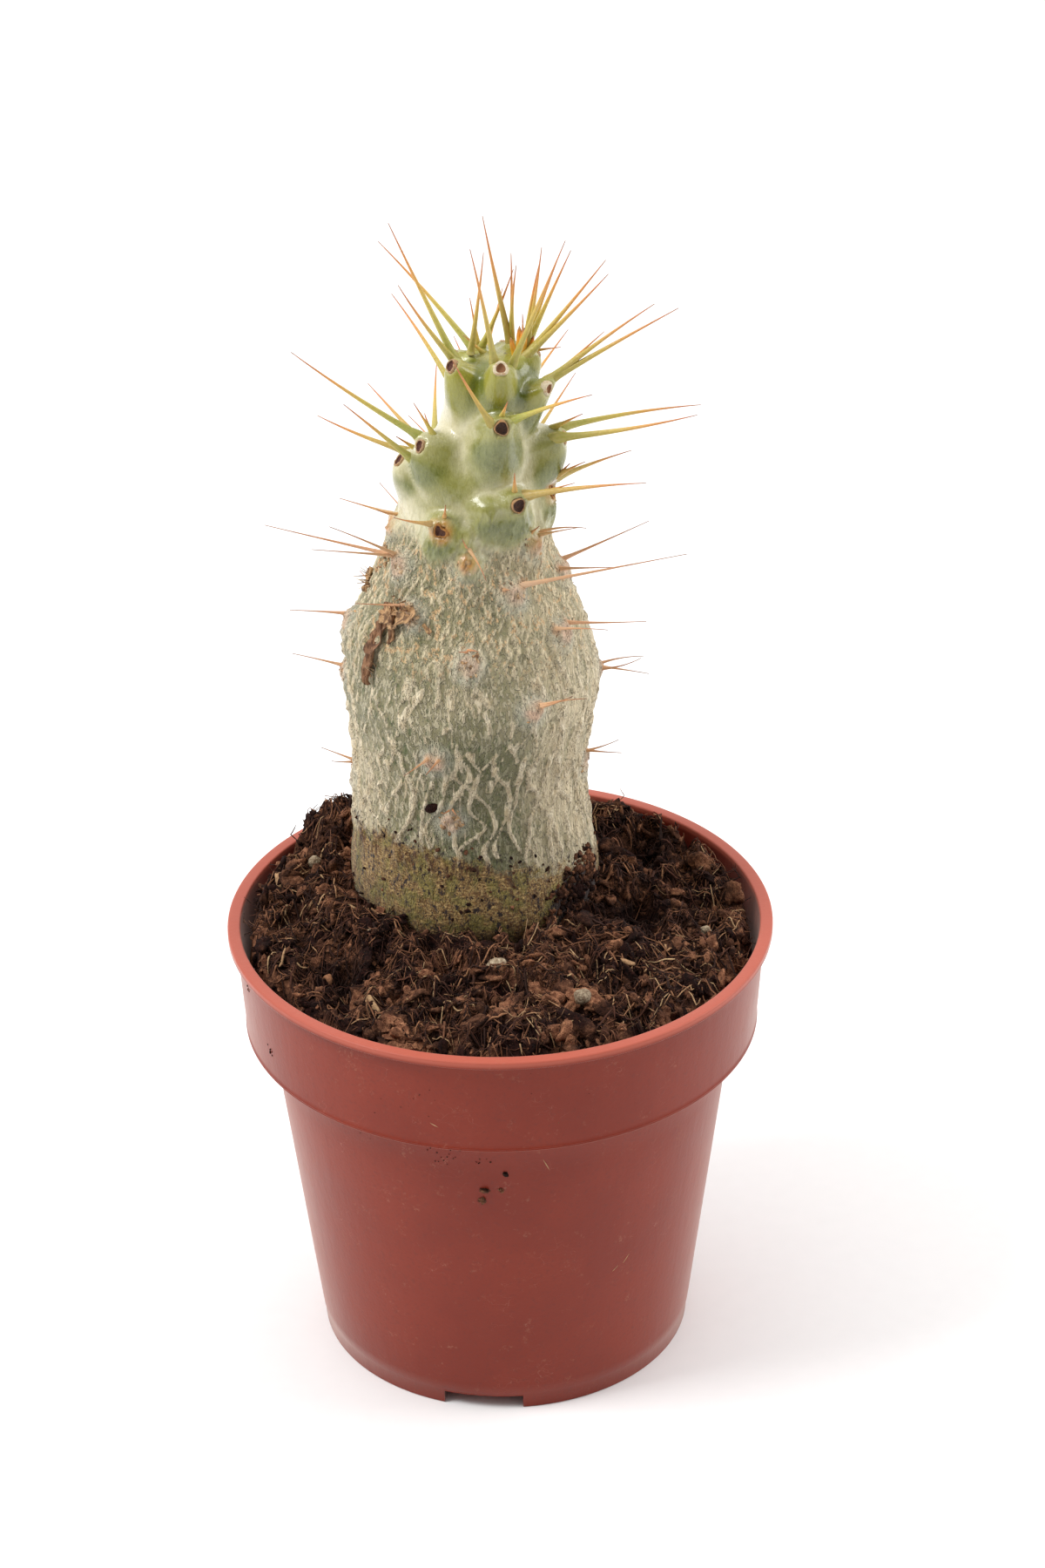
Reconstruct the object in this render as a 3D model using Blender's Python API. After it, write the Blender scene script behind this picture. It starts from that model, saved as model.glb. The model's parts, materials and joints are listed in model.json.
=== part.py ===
"""A young pachypodium with its spiny stem, growing in a plastic nursery pot.

The model is in metres with +Z up. Its origin is on the pot's axis, on the surface that
the pot stands on, and -Y is the front. Compass angles are in degrees: they start at the
front and grow toward +X.
"""

import math
import random

import bmesh
import bpy
from mathutils import Vector, noise

MM = 0.001
CLEARANCE = 0.35 * MM
MERGE_DISTANCE = 0.02 * MM

# Pot: a standard 10.5 cm nursery pot
POT_HEIGHT = 90.5 * MM
POT_WALL = 1.2 * MM
POT_SIDES = 64
RIM_RADIUS = 52.5 * MM
RIM_WIDTH = 2.5 * MM
RIM_THICKNESS = 1.5 * MM
RIM_ROUNDING = 0.4 * MM
COLLAR_TOP_RADIUS = 51.0 * MM
COLLAR_BOTTOM_RADIUS = 49.6 * MM
COLLAR_BOTTOM = 69.2 * MM
WALL_TOP_RADIUS = 45.1 * MM
FOOT_RADIUS = 36.4 * MM
FOOT_HEIGHT = 3.0 * MM
NOTCH_WIDTH = 15.5 * MM
NOTCH_REACH = 7.2 * MM
NOTCH_COMPASS = (-7.5, 112.5, 232.5)
DRAIN_HOLE_RADIUS = 3.5 * MM
DRAIN_HOLE_SIDES = 16
DRAIN_HOLE_COUNT = 6
DRAIN_RING_RADIUS = 24.0 * MM
FLOOR_TOP = FOOT_HEIGHT + POT_WALL
SHARP_ANGLE = 35.0

# Stem: height, radius and lean toward +X of each station, in millimetres
STEM_DEPTH = 11.0 * MM
STEM_STATIONS = (
    (38, 0, -4.6),
    (48, 3, -4.6),
    (62, 6, -4.6),
    (75, 12, -4.6),
    (85, 19.5, -4.6),
    (92, 23.4, -4.6),
    (98, 24.0, -4.8),
    (108, 22.6, -5.3),
    (119, 21.8, -5.5),
    (129, 22.8, -5.0),
    (138, 23.6, -4.7),
    (149, 21.6, -5.1),
    (157, 18.6, -4.9),
    (164, 15.8, -4.9),
    (170, 14.0, -4.2),
    (176, 12.8, -3.8),
    (181, 11.8, -3.2),
    (186, 9.6, -1.8),
    (191, 8.5, -1.0),
    (196, 8.2, 0.0),
    (200.5, 6.8, 1.0),
    (202.6, 3.8, 2.2),
    (203.2, 0, 2.6),
)
STATION_STEPS = 12
ROOT_ROW_SPACING = 6.0 * MM
NET_ROW_SPACING = 2.5 * MM
CROWN_ROW_SPACING = 1.5 * MM

# Raised net on the bark: strands that wave against each other and so close into cells
NET_BOTTOM = 98.0 * MM
NET_TOP = 152.0 * MM
NET_FADE = 7.0 * MM
NET_STRANDS = 22
NET_CELL_LENGTH = 27.0 * MM
NET_WAVE = 0.28
NET_JITTER = 1.1
NET_HEIGHT = 0.7 * MM
NET_FLANK = 0.13
NET_JOIN = 0.75
NET_SEED = 11

# Tubercles: height in millimetres and compass of the leaf scar, how much stouter than
# others of its height the tubercle is, then its spines, each with its compass, its rise
# above level and its length in millimetres
SEEN_TUBERCLES = (
    (204.5, 4, 1.0, ((-27, 71, 27), (60, 67, 29))),
    (203.6, -53, 1.0, ((-97, 66, 29), (-68, 57, 20))),
    (202.4, -110, 0.5, ((-116, 44, 27), (90, 82, 21), (-100, 43, 5))),
    (201.0, -165, 0.4, ((-140, 76, 10), (60, 67, 19))),
    (201.0, 150, 0.4, ((110, 69, 18), (80, 67, 22))),
    (203.0, 95, 0.4, ((80, 48, 23), (88, 52, 24), (67, 17, 7))),
    (202.6, 175, 0.3, ((-74, 79, 27), (10, 88, 19), (17, 79, 18))),
    (202.8, 125, 0.3, ((72, 81, 21), (80, 81, 18), (60, 88, 7))),
    (198.9, 58, 1.0, ((85, 39, 25), (86, 32, 28), (95, 42, 14))),
    (194.2, 11, 1.1, ((-60, 61, 16), (59, 28, 19), (24, 57, 5))),
    (188.6, -56, 1.0, ((-88, 37, 29), (-100, 60, 7))),
    (187.4, 80, 1.2, ((75, 15, 27), (104, 3, 27), (53, 35, 8))),
    (184.3, -73, 1.0, ((-109, 15, 18), (-64, 46, 19), (-70, 40, 5))),
    (178.9, 31, 1.0, ((61, 18, 26), (64, 25, 11), (0, 70, 5))),
    (177.3, 74, 0.8, ((104, 15, 15), (50, 36, 8), (60, 50, 4))),
    (174.5, -22, 1.0, ((-39, 26, 12), (10, 60, 4))),
    (170.4, -79, 0.6, ((-108, 10, 11), (-62, 20, 5))),
    (169.3, 49, 0.8, ((62, 22, 9), (82, 12, 9), (29, 40, 4))),
    (168.6, -2, 1.1, ((-25, 55, 4), (25, 10, 5))),
    (165.4, -52, 0.8, ((-93, 14, 25), (-58, 19, 19), (-54, 35, 18))),
    (161.7, 29, 0.9, ((92, 10, 31), (8, 26, 9))),
    (160.3, 82, 0.8, ((97, 22, 18), (58, 15, 13))),
    (158.0, -35, 1.0, ((-89, 4, 9),)),
    (152.0, 56, 1.0, ((85, 2, 15), (56, 15, 12))),
    (149.3, -90, 1.6, ((-90, 5, 11),)),
    (150.4, 0, 1.0, ((-40, 20, 3), (40, 20, 3))),
    (138.7, -88, 1.0, ((-94, 14, 10),)),
    (137.5, 94, 0.5, ((90, -10, 10), (92, 12, 9), (75, 18, 9))),
    (140.3, 29, 1.0, ((44, 27, 14), (41, 32, 11))),
    (133.4, -18, 1.0, ((-27, 7, 10), (-20, 12, 9))),
    (119.8, 82, 1.0, ((90, 17, 7), (64, 8, 8))),
    (117.0, -88, 1.0, ((-95, 22, 7), (-65, 12, 5))),
    (117.6, -9, 1.0, ((-30, 10, 3), (20, 5, 3))),
)

# Tubercles of the far side: a golden-angle spiral down the stem
GOLDEN_ANGLE = 137.5
SPIRAL_START = 60.0
SPIRAL_TOP = 190.0
SPIRAL_DROP = 0.55
SPIRAL_POWER = 1.3
SPIRAL_COUNT = 43
FAR_SIDE_COMPASS = 126.0
FAR_SIDE_SPINE_COMPASS = 142.0
FAR_SIDE_SEED = 5
SPINE_SPREAD = 38.0
HEADING_DRAW = 10.0
RISE_DRAW = (-6.0, 8.0)
LENGTH_DRAW = (0.75, 1.0)
MIDDLE_SPINE_HEIGHT = 165.0 * MM
MIDDLE_SPINE_RISE = 30.0
MIDDLE_SPINE_SHARE = 0.2

# Growth by height: height in millimetres, then how far a tubercle stands out, its
# half width, how steeply it points up, and the length and rise of its spines
GROWTH = (
    (110, 0.5, 2.2, 0, 5, 5),
    (135, 0.7, 2.4, 0, 8, 8),
    (150, 0.9, 2.6, 5, 12, 12),
    (165, 1.6, 3.0, 10, 19, 18),
    (175, 3.0, 3.8, 15, 19, 24),
    (190, 5.4, 4.0, 22, 24, 32),
    (198, 5.0, 3.5, 34, 26, 45),
    (205, 5.0, 3.0, 56, 28, 66),
)
TUBERCLE_RISE_SHARE = 0.75
TUBERCLE_DROP_SHARE = 2.0
TUBERCLE_SPREAD = 0.6
TUBERCLE_SPREAD_DROP = 8.0 * MM
TUBERCLE_STEEPNESS = 1.7

# Spines: three-sided, stout at the root and drawn out to a point
SPINE_SIDES = 3
SPINE_ROOT_RADIUS = 0.8 * MM
SPINE_WAIST = 0.35
SPINE_WAIST_RADIUS = 0.45 * MM
SPINE_FULL_LENGTH = 25.0 * MM
SPINE_LEAST_GIRTH = 0.55
SPINE_SIDE_STEP = 1.9 * MM
SPINE_RAISE = 1.2 * MM
SPINE_SINK = 2.2 * MM
SHORT_SPINE = 9.0 * MM
SHORT_SPINE_STEP = 2.4 * MM

# Bud of young leaves: the place in millimetres, compass, rise, length and half width of
# each, and the share of that half width along a leaf
BUD_FOOT = 201.0 * MM
BUD_LEAVES = (
    (5.4, 11.0, 60, 84, 7.2, 1.15),
    (4.6, 10.4, -60, 78, 6.0, 0.8),
    (6.2, 11.6, 90, 74, 5.6, 0.8),
    (5.0, 12.4, 170, 80, 6.6, 0.9),
)
BUD_SIDES = 5
BUD_OUTLINE = ((0.0, 0.7), (0.35, 1.0), (0.75, 0.65))

# Dry leaf: the half width of each strip in millimetres, and its course over the bark as
# pairs of compass and height
DRY_LEAF = (
    (1.9, ((-31, 158.8), (-40, 157.0), (-47, 156.2), (-55, 157.0))),
    (1.25, ((-49, 158.5), (-51, 154.0), (-53, 150.0), (-55, 147.0), (-53, 142.8))),
)
DRY_LEAF_RISE = 0.9 * MM
DRY_LEAF_SINK = 0.9 * MM

# Soil: a plain fill with clods all over its top, and lumps and hollows, each with its
# place, height and spread in millimetres
SOIL_SIDES = 96
SOIL_RINGS = 16
SOIL_LEVEL = 88.5 * MM
SOIL_COLLAR_HEIGHT = 93.0 * MM
SOIL_EDGE_DROP = 2.0 * MM
GRAIN_SIZE = 9.0 * MM
GRAIN_HEIGHT = 1.6 * MM
CLOD_SIZE = 6.5 * MM
CLOD_HEIGHT = 1.5 * MM
CLOD_CREASE = 5.0
HOLE_NECK = 84.0 * MM
HOLE_NECK_ROWS = 4
SOIL_LUMPS = (
    (-33, 30, 9.0, 9),
    (-40, 5, 2.0, 14),
    (24, 44, 2.5, 7),
    (28, 25, -8.0, 6.5),
    (32, 34, 2.5, 9),
    (0, 42, -5.0, 10),
    (25, -1, -6.5, 6.5),
    (-30, -20, -4.5, 5.5),
    (-22, -14, 1.5, 7),
    (6, -30, 1.0, 12),
)

POT_COLOUR = (0.29, 0.061, 0.042, 1.0)
SOIL_COLOUR = (0.035, 0.019, 0.012, 1.0)
PLANT_COLOUR = (0.38, 0.43, 0.31, 1.0)


def clear_scene():
    for leftover in list(bpy.data.objects):
        bpy.data.objects.remove(leftover, do_unlink=True)


def make_material(name, colour, roughness):
    material = bpy.data.materials.new(name)
    material.use_nodes = True
    shader = material.node_tree.nodes["Principled BSDF"]
    shader.inputs["Base Color"].default_value = colour
    shader.inputs["Roughness"].default_value = roughness
    shader.inputs["Metallic"].default_value = 0.0
    return material


def add_object(name, mesh, collection=None):
    added = bpy.data.objects.new(name, mesh)
    (collection or bpy.context.scene.collection).objects.link(added)
    return added


def finish_mesh(bm, name):
    """Turns the faces outward and hands the geometry over to a new mesh."""
    bmesh.ops.recalc_face_normals(bm, faces=bm.faces)
    mesh = bpy.data.meshes.new(name)
    bm.to_mesh(mesh)
    bm.free()
    return mesh


def toward(compass, rise=0.0):
    """The unit direction of a compass angle and a rise above level, in degrees."""
    across = math.cos(math.radians(rise))
    angle = math.radians(compass)
    return Vector((math.sin(angle) * across, -math.cos(angle) * across,
                   math.sin(math.radians(rise))))


def blend(low, high, share):
    return low + (high - low) * share


def read_table(table, height):
    """Every column of a table at a height in metres, straight between its rows."""
    wanted = height / MM
    if wanted <= table[0][0]:
        return table[0][1:]
    for below, above in zip(table, table[1:]):
        if wanted <= above[0]:
            share = (wanted - below[0]) / (above[0] - below[0])
            return tuple(blend(a, b, share) for a, b in zip(below[1:], above[1:]))
    return table[-1][1:]


def fade(value, start, length):
    """Rises smoothly from 0 at start to 1 a length further on."""
    share = min(max((value - start) / length, 0.0), 1.0)
    return share * share * (3.0 - 2.0 * share)


def bridge(bm, lower, upper):
    """Faces between two rings, one of which may be a point or have half the corners."""
    if len(upper) == 1 or len(upper) * 2 == len(lower):
        lower, upper = upper, lower
    count = len(lower)
    step = len(upper) // max(count, 1)
    if count == 1:
        for i, corner in enumerate(upper):
            bm.faces.new((lower[0], corner, upper[(i + 1) % len(upper)]))
        return
    for i in range(count):
        start = lower[i]
        end = lower[(i + 1) % count]
        if step == 1:
            bm.faces.new((start, end, upper[(i + 1) % count], upper[i]))
            continue
        left = upper[2 * i]
        middle = upper[2 * i + 1]
        right = upper[(2 * i + 2) % len(upper)]
        bm.faces.new((start, middle, left))
        bm.faces.new((start, end, middle))
        bm.faces.new((end, right, middle))


def skin(rings, name):
    """One closed skin over a stack of rings that starts and ends in a point."""
    bm = bmesh.new()
    corners = [[bm.verts.new(point) for point in ring] for ring in rings]
    for lower, upper in zip(corners, corners[1:]):
        bridge(bm, lower, upper)
    return finish_mesh(bm, name)


# Pot


def wall_radius(height):
    """Outer radius of the pot's lower wall."""
    return blend(FOOT_RADIUS, WALL_TOP_RADIUS, height / COLLAR_BOTTOM)


def collar_radius(height):
    """Outer radius of the collar, carried on to the top of the pot."""
    share = (height - COLLAR_BOTTOM) / (POT_HEIGHT - RIM_THICKNESS - COLLAR_BOTTOM)
    return blend(COLLAR_BOTTOM_RADIUS, COLLAR_TOP_RADIUS, share)


def inner_radius(height):
    """Inner radius of the pot, on either side of its ledge."""
    if height < COLLAR_BOTTOM + POT_WALL:
        return wall_radius(height) - POT_WALL
    return collar_radius(height) - POT_WALL


def rounded_corner(radius, height, start):
    """Three points of the rim's rounding about a centre, from a start angle in degrees."""
    for turn in (0, 45, 90):
        angle = math.radians(start - turn)
        yield (radius + RIM_ROUNDING * math.cos(angle), height + RIM_ROUNDING * math.sin(angle))


def pot_profile():
    """From the middle of the floor, up the inside, over the rim and down the outside."""
    ledge = COLLAR_BOTTOM + POT_WALL
    rim_inside = RIM_RADIUS - RIM_WIDTH
    round_height = POT_HEIGHT - RIM_ROUNDING
    profile = [
        (0.0, FLOOR_TOP),
        (inner_radius(FLOOR_TOP), FLOOR_TOP),
        (wall_radius(ledge) - POT_WALL, ledge),
        (inner_radius(ledge), ledge),
        (rim_inside, POT_HEIGHT - RIM_THICKNESS),
    ]
    profile.extend(rounded_corner(rim_inside + RIM_ROUNDING, round_height, 180))
    profile.extend(rounded_corner(RIM_RADIUS - RIM_ROUNDING, round_height, 90))
    profile.extend([
        (RIM_RADIUS, POT_HEIGHT - RIM_THICKNESS),
        (COLLAR_TOP_RADIUS, POT_HEIGHT - RIM_THICKNESS),
        (COLLAR_BOTTOM_RADIUS, COLLAR_BOTTOM),
        (WALL_TOP_RADIUS, COLLAR_BOTTOM),
        (FOOT_RADIUS, 0.0),
        (FOOT_RADIUS - POT_WALL, 0.0),
        (wall_radius(FOOT_HEIGHT) - POT_WALL, FOOT_HEIGHT),
        (0.0, FOOT_HEIGHT),
    ])
    return profile


def add_cutter(name, mesh, collection, place, compass=0.0):
    cutter = add_object(name, mesh, collection)
    cutter.location = place
    cutter.rotation_euler.z = math.radians(compass)
    cutter.hide_render = True
    cutter.display_type = "WIRE"
    return cutter


def add_pot_cutters():
    """Blocks that cut the notches out of the foot, and rods that drill the drain holes."""
    cutters = bpy.data.collections.new("pot_cutters")
    bpy.context.scene.collection.children.link(cutters)
    bm = bmesh.new()
    block = (NOTCH_WIDTH, NOTCH_REACH, 2 * FOOT_HEIGHT)
    bmesh.ops.create_cube(bm, size=1.0)
    bmesh.ops.scale(bm, vec=block, verts=bm.verts)
    notch = finish_mesh(bm, "notch")
    bm = bmesh.new()
    bmesh.ops.create_cone(bm, cap_ends=True, segments=DRAIN_HOLE_SIDES,
                          radius1=DRAIN_HOLE_RADIUS, radius2=DRAIN_HOLE_RADIUS,
                          depth=4 * FLOOR_TOP)
    rod = finish_mesh(bm, "drain_hole")
    for i, compass in enumerate(NOTCH_COMPASS):
        add_cutter(f"notch_cutter_{i}", notch, cutters, toward(compass) * FOOT_RADIUS, compass)
    add_cutter("drain_cutter_middle", rod, cutters, Vector())
    for i in range(DRAIN_HOLE_COUNT):
        place = toward(360.0 * i / DRAIN_HOLE_COUNT) * DRAIN_RING_RADIUS
        add_cutter(f"drain_cutter_{i}", rod, cutters, place)
    return cutters


def add_pot():
    profile = pot_profile()
    mesh = bpy.data.meshes.new("pot")
    mesh.from_pydata([(radius, 0.0, height) for radius, height in profile],
                     [(i, i + 1) for i in range(len(profile) - 1)], [])
    pot = add_object("pot", mesh)
    turn = pot.modifiers.new("Turn", "SCREW")
    turn.steps = POT_SIDES
    turn.render_steps = POT_SIDES
    turn.use_merge_vertices = True
    turn.merge_threshold = MERGE_DISTANCE
    cut = pot.modifiers.new("Notches and drain holes", "BOOLEAN")
    cut.operation = "DIFFERENCE"
    cut.operand_type = "COLLECTION"
    cut.collection = add_pot_cutters()
    pot.data.materials.append(make_material("terracotta_plastic", POT_COLOUR, 0.42))
    return pot


# Stem


def catmull_rom(before, start, end, after, share):
    """A point on the smooth curve between start and end."""
    return (start * 2.0 + (end - before) * share
            + (before * 2.0 - start * 5.0 + end * 4.0 - after) * share ** 2
            + (start * 3.0 - before - end * 3.0 + after) * share ** 3) * 0.5


def stem_curve():
    """Close stations down to the root and up to the tip: height, radius and lean."""
    points = [Vector(station) * MM for station in STEM_STATIONS]
    padded = [points[0], *points, points[-1]]
    curve = []
    for window in zip(padded, padded[1:], padded[2:], padded[3:]):
        for step in range(STATION_STEPS):
            curve.append(catmull_rom(*window, step / STATION_STEPS))
    curve.append(points[-1])
    return curve


def row_spacing(height):
    if height < NET_BOTTOM:
        return ROOT_ROW_SPACING
    if height < NET_TOP:
        return NET_ROW_SPACING
    return CROWN_ROW_SPACING


def stem_rows(curve):
    """Stations thinned out to the spacing that each stretch of the stem asks for."""
    rows = [curve[0]]
    run = 0.0
    for previous, station in zip(curve, curve[1:]):
        run += (station - previous).length
        if run >= row_spacing(station.x):
            rows.append(station)
            run = 0.0
    rows[-1] = curve[-1]
    return rows


def station_at(curve, height):
    for below, above in zip(curve, curve[1:]):
        if below.x <= height < above.x:
            return below.lerp(above, (height - below.x) / (above.x - below.x))
    return curve[0] if height < curve[0].x else curve[-1]


def stem_point(station, compass, out=0.0):
    """The bare stem's surface at a station, or a distance out from it."""
    height, radius, lean = station
    middle = Vector((lean, STEM_DEPTH, height))
    return middle + toward(compass) * (radius + out)


class Net:
    """The strands of the bark's raised net, numbered round the stem."""

    def __init__(self):
        draw = random.Random(NET_SEED)
        self.phases = [draw.uniform(-NET_JITTER, NET_JITTER) for _ in range(NET_STRANDS)]

    def strength(self, height):
        return fade(height, NET_BOTTOM, NET_FADE) * (1.0 - fade(height, NET_TOP - NET_FADE, NET_FADE))

    def place(self, strand, height):
        """Where a strand runs at a height, counted in strands round the stem."""
        own = strand % NET_STRANDS
        turn = 2.0 * math.pi * height / NET_CELL_LENGTH + self.phases[own]
        side = 1.0 if own % 2 else -1.0
        return strand + side * NET_WAVE * math.sin(turn) * self.strength(height)

    def columns(self, height):
        """Compass and relief of the four columns that each strand has at a height."""
        raised = NET_HEIGHT * self.strength(height)
        for strand in range(NET_STRANDS):
            start = self.place(strand, height)
            room = self.place(strand + 1, height) - start
            join = raised * (1.0 - fade(room, 1.0 - 2.0 * NET_WAVE, NET_JOIN * 2.0 * NET_WAVE))
            for share, relief in ((0.0, raised), (NET_FLANK, join), (0.5, join),
                                  (1.0 - NET_FLANK, join)):
                yield (start + share * room) * 360.0 / NET_STRANDS, relief


class Tubercle:
    """A leaf base that stands out of the stem, with a scar and a few spines."""

    def __init__(self, curve, height, compass, vigour, spines):
        size, width, tilt, _, _ = read_table(GROWTH, height)
        self.compass = compass
        self.spines = spines
        self.width = width * math.sqrt(vigour) * MM
        self.lift = toward(compass, tilt) * size * vigour * MM
        self.foot = stem_point(station_at(curve, height - self.lift.z), compass)

    def strength(self, point):
        """How much of the tubercle's height a point of the bare stem takes up."""
        away = point - self.foot
        rise = TUBERCLE_RISE_SHARE if away.z > 0 else TUBERCLE_DROP_SHARE
        upright = away.z / (self.width * rise)
        spread = TUBERCLE_SPREAD * fade(-away.z, 0.0, TUBERCLE_SPREAD_DROP)
        across = away.xy.length / (self.width * (1.0 + spread))
        return math.exp(-(upright * upright + across * across) ** TUBERCLE_STEEPNESS)


def far_side_spines(height, compass, draw):
    """A pair of spines and, on the younger part of the stem, a short one between them."""
    _, _, _, length, rise = read_table(GROWTH, height)
    spines = []
    for side in (-1, 1):
        heading = compass + side * SPINE_SPREAD + draw.uniform(-HEADING_DRAW, HEADING_DRAW)
        heading = min(max(heading % 360.0, FAR_SIDE_SPINE_COMPASS), 360.0 - FAR_SIDE_SPINE_COMPASS)
        spines.append((heading, rise + draw.uniform(*RISE_DRAW), length * draw.uniform(*LENGTH_DRAW)))
    if height > MIDDLE_SPINE_HEIGHT:
        spines.append((compass, rise + MIDDLE_SPINE_RISE, length * MIDDLE_SPINE_SHARE))
    return spines


def grow_tubercles(curve):
    """The tubercles that the front shows, and a spiral of them on the far side."""
    tubercles = []
    for height, compass, vigour, spines in SEEN_TUBERCLES:
        tubercles.append(Tubercle(curve, height * MM, compass, vigour, spines))
    draw = random.Random(FAR_SIDE_SEED)
    for number in range(SPIRAL_COUNT):
        height = (SPIRAL_TOP - SPIRAL_DROP * number ** SPIRAL_POWER) * MM
        compass = (SPIRAL_START + GOLDEN_ANGLE * number) % 360.0
        if not FAR_SIDE_COMPASS < compass < 360.0 - FAR_SIDE_COMPASS:
            continue
        spines = far_side_spines(height, compass, draw)
        tubercles.append(Tubercle(curve, height, compass, 1.0, spines))
    return tubercles


def raise_tubercles(point, tubercles):
    """Moves a point of the bare stem out with the tubercle that lifts it most."""
    lifts = [tubercle.lift * tubercle.strength(point) for tubercle in tubercles]
    return point + max(lifts, key=lambda lift: lift.length_squared)


def stem_rings(curve, tubercles):
    net = Net()
    rings = []
    for station in stem_rows(curve):
        if station.y < MERGE_DISTANCE:
            rings.append([raise_tubercles(stem_point(station, 0), tubercles)])
            continue
        columns = list(net.columns(station.x))
        if not NET_BOTTOM < station.x < NET_TOP:
            columns = columns[::2]
        ring = [stem_point(station, compass, relief) for compass, relief in columns]
        rings.append([raise_tubercles(point, tubercles) for point in ring])
    return rings


def pointed_mesh(outline, sides, length, name):
    """A closed spike along +Z from the origin, with an outline of shares and radii."""
    bm = bmesh.new()
    rings = []
    for share, radius in outline:
        places = [toward(360.0 * side / sides) * radius for side in range(sides)]
        rings.append([bm.verts.new((place.x, place.y, share * length)) for place in places])
    tip = bm.verts.new((0.0, 0.0, length))
    bm.faces.new(rings[0])
    for lower, upper in zip(rings, rings[1:]):
        bridge(bm, lower, upper)
    bridge(bm, rings[-1], [tip])
    return finish_mesh(bm, name)


def add_pointed(mesh, place, direction, collection):
    """Stands a spike up on a place, along a direction."""
    spike = add_object(mesh.name, mesh, collection)
    spike.location = place
    spike.rotation_mode = "QUATERNION"
    spike.rotation_quaternion = direction.to_track_quat("Z", "Y")


def spine_root(tubercle, compass, length):
    """Beside the scar for a long spine, above it for a short one."""
    if length < SHORT_SPINE:
        return tubercle.foot + Vector((0.0, 0.0, SHORT_SPINE_STEP))
    side = toward(tubercle.compass + 90.0) * SPINE_SIDE_STEP
    beside = side if compass > tubercle.compass else -side
    return tubercle.foot + beside + Vector((0.0, 0.0, SPINE_RAISE))


def add_spines(tubercles, collection):
    for tubercle in tubercles:
        for compass, rise, length in tubercle.spines:
            direction = toward(compass, rise)
            root = spine_root(tubercle, compass, length * MM)
            root += tubercle.lift * tubercle.strength(root)
            girth = blend(SPINE_LEAST_GIRTH, 1.0, min(1.0, length * MM / SPINE_FULL_LENGTH))
            outline = ((0.0, SPINE_ROOT_RADIUS * girth), (SPINE_WAIST, SPINE_WAIST_RADIUS * girth))
            mesh = pointed_mesh(outline, SPINE_SIDES, length * MM + SPINE_SINK, "spine")
            add_pointed(mesh, root - direction * SPINE_SINK, direction, collection)


def add_bud(collection):
    for x, y, compass, rise, length, half_width in BUD_LEAVES:
        outline = [(share, girth * half_width * MM) for share, girth in BUD_OUTLINE]
        mesh = pointed_mesh(outline, BUD_SIDES, length * MM, "bud")
        place = Vector((x * MM, y * MM, BUD_FOOT))
        add_pointed(mesh, place, toward(compass, rise), collection)


def add_dry_leaf(curve, tubercles, collection):
    """Torn strips of dead leaf that lie on the bark, half sunk into it."""
    for half_width, course in DRY_LEAF:
        bare = [stem_point(station_at(curve, height * MM), compass) for compass, height in course]
        places = [raise_tubercles(point, tubercles) for point in bare]
        rings = [[places[0]]]
        for number in range(1, len(places) - 1):
            out = toward(course[number][0])
            along = places[number + 1] - places[number - 1]
            side = out.cross(along).normalized() * half_width * MM
            top = places[number] + out * DRY_LEAF_RISE
            under = places[number] - out * DRY_LEAF_SINK
            rings.append([under - side, under + side, top + side, top - side])
        rings.append([places[-1]])
        add_object("dry_leaf", skin(rings, "dry_leaf"), collection)


def apply_modifiers(target):
    """Bakes an object's modifiers into its mesh."""
    bpy.context.view_layer.update()
    evaluated = target.evaluated_get(bpy.context.evaluated_depsgraph_get())
    baked = bpy.data.meshes.new_from_object(evaluated)
    target.modifiers.clear()
    target.data = baked


def add_plant(curve):
    tubercles = grow_tubercles(curve)
    plant = add_object("plant", skin(stem_rings(curve, tubercles), "plant"))
    growths = bpy.data.collections.new("growths")
    bpy.context.scene.collection.children.link(growths)
    add_spines(tubercles, growths)
    add_bud(growths)
    add_dry_leaf(curve, tubercles, growths)
    join = plant.modifiers.new("Growths", "BOOLEAN")
    join.operation = "UNION"
    join.operand_type = "COLLECTION"
    join.collection = growths
    apply_modifiers(plant)
    for growth in list(growths.objects):
        bpy.data.objects.remove(growth, do_unlink=True)
    bpy.data.collections.remove(growths)
    plant.data.materials.clear()
    plant.data.materials.append(make_material("bark", PLANT_COLOUR, 0.55))
    return plant


# Soil


def soil_height(place, stem_share):
    """The soil's top at a place, higher by the stem and with creases between its clods."""
    height = blend(SOIL_COLLAR_HEIGHT, SOIL_LEVEL, fade(stem_share, 0.0, 1.0))
    for x, y, rise, spread in SOIL_LUMPS:
        away = (place.xy - Vector((x, y)) * MM).length / (spread * MM)
        height += rise * MM * math.exp(-away * away)
    level = Vector((place.x, place.y, 0.0))
    grain = noise.noise(level / GRAIN_SIZE)
    clod = 1.0 - CLOD_CREASE * abs(noise.noise(level / CLOD_SIZE))
    return height + GRAIN_HEIGHT * grain + CLOD_HEIGHT * clod


def hole_point(curve, angle, height):
    """The side of the stem's hole, a clearance away from the stem."""
    return stem_point(station_at(curve, height), angle, CLEARANCE)


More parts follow.
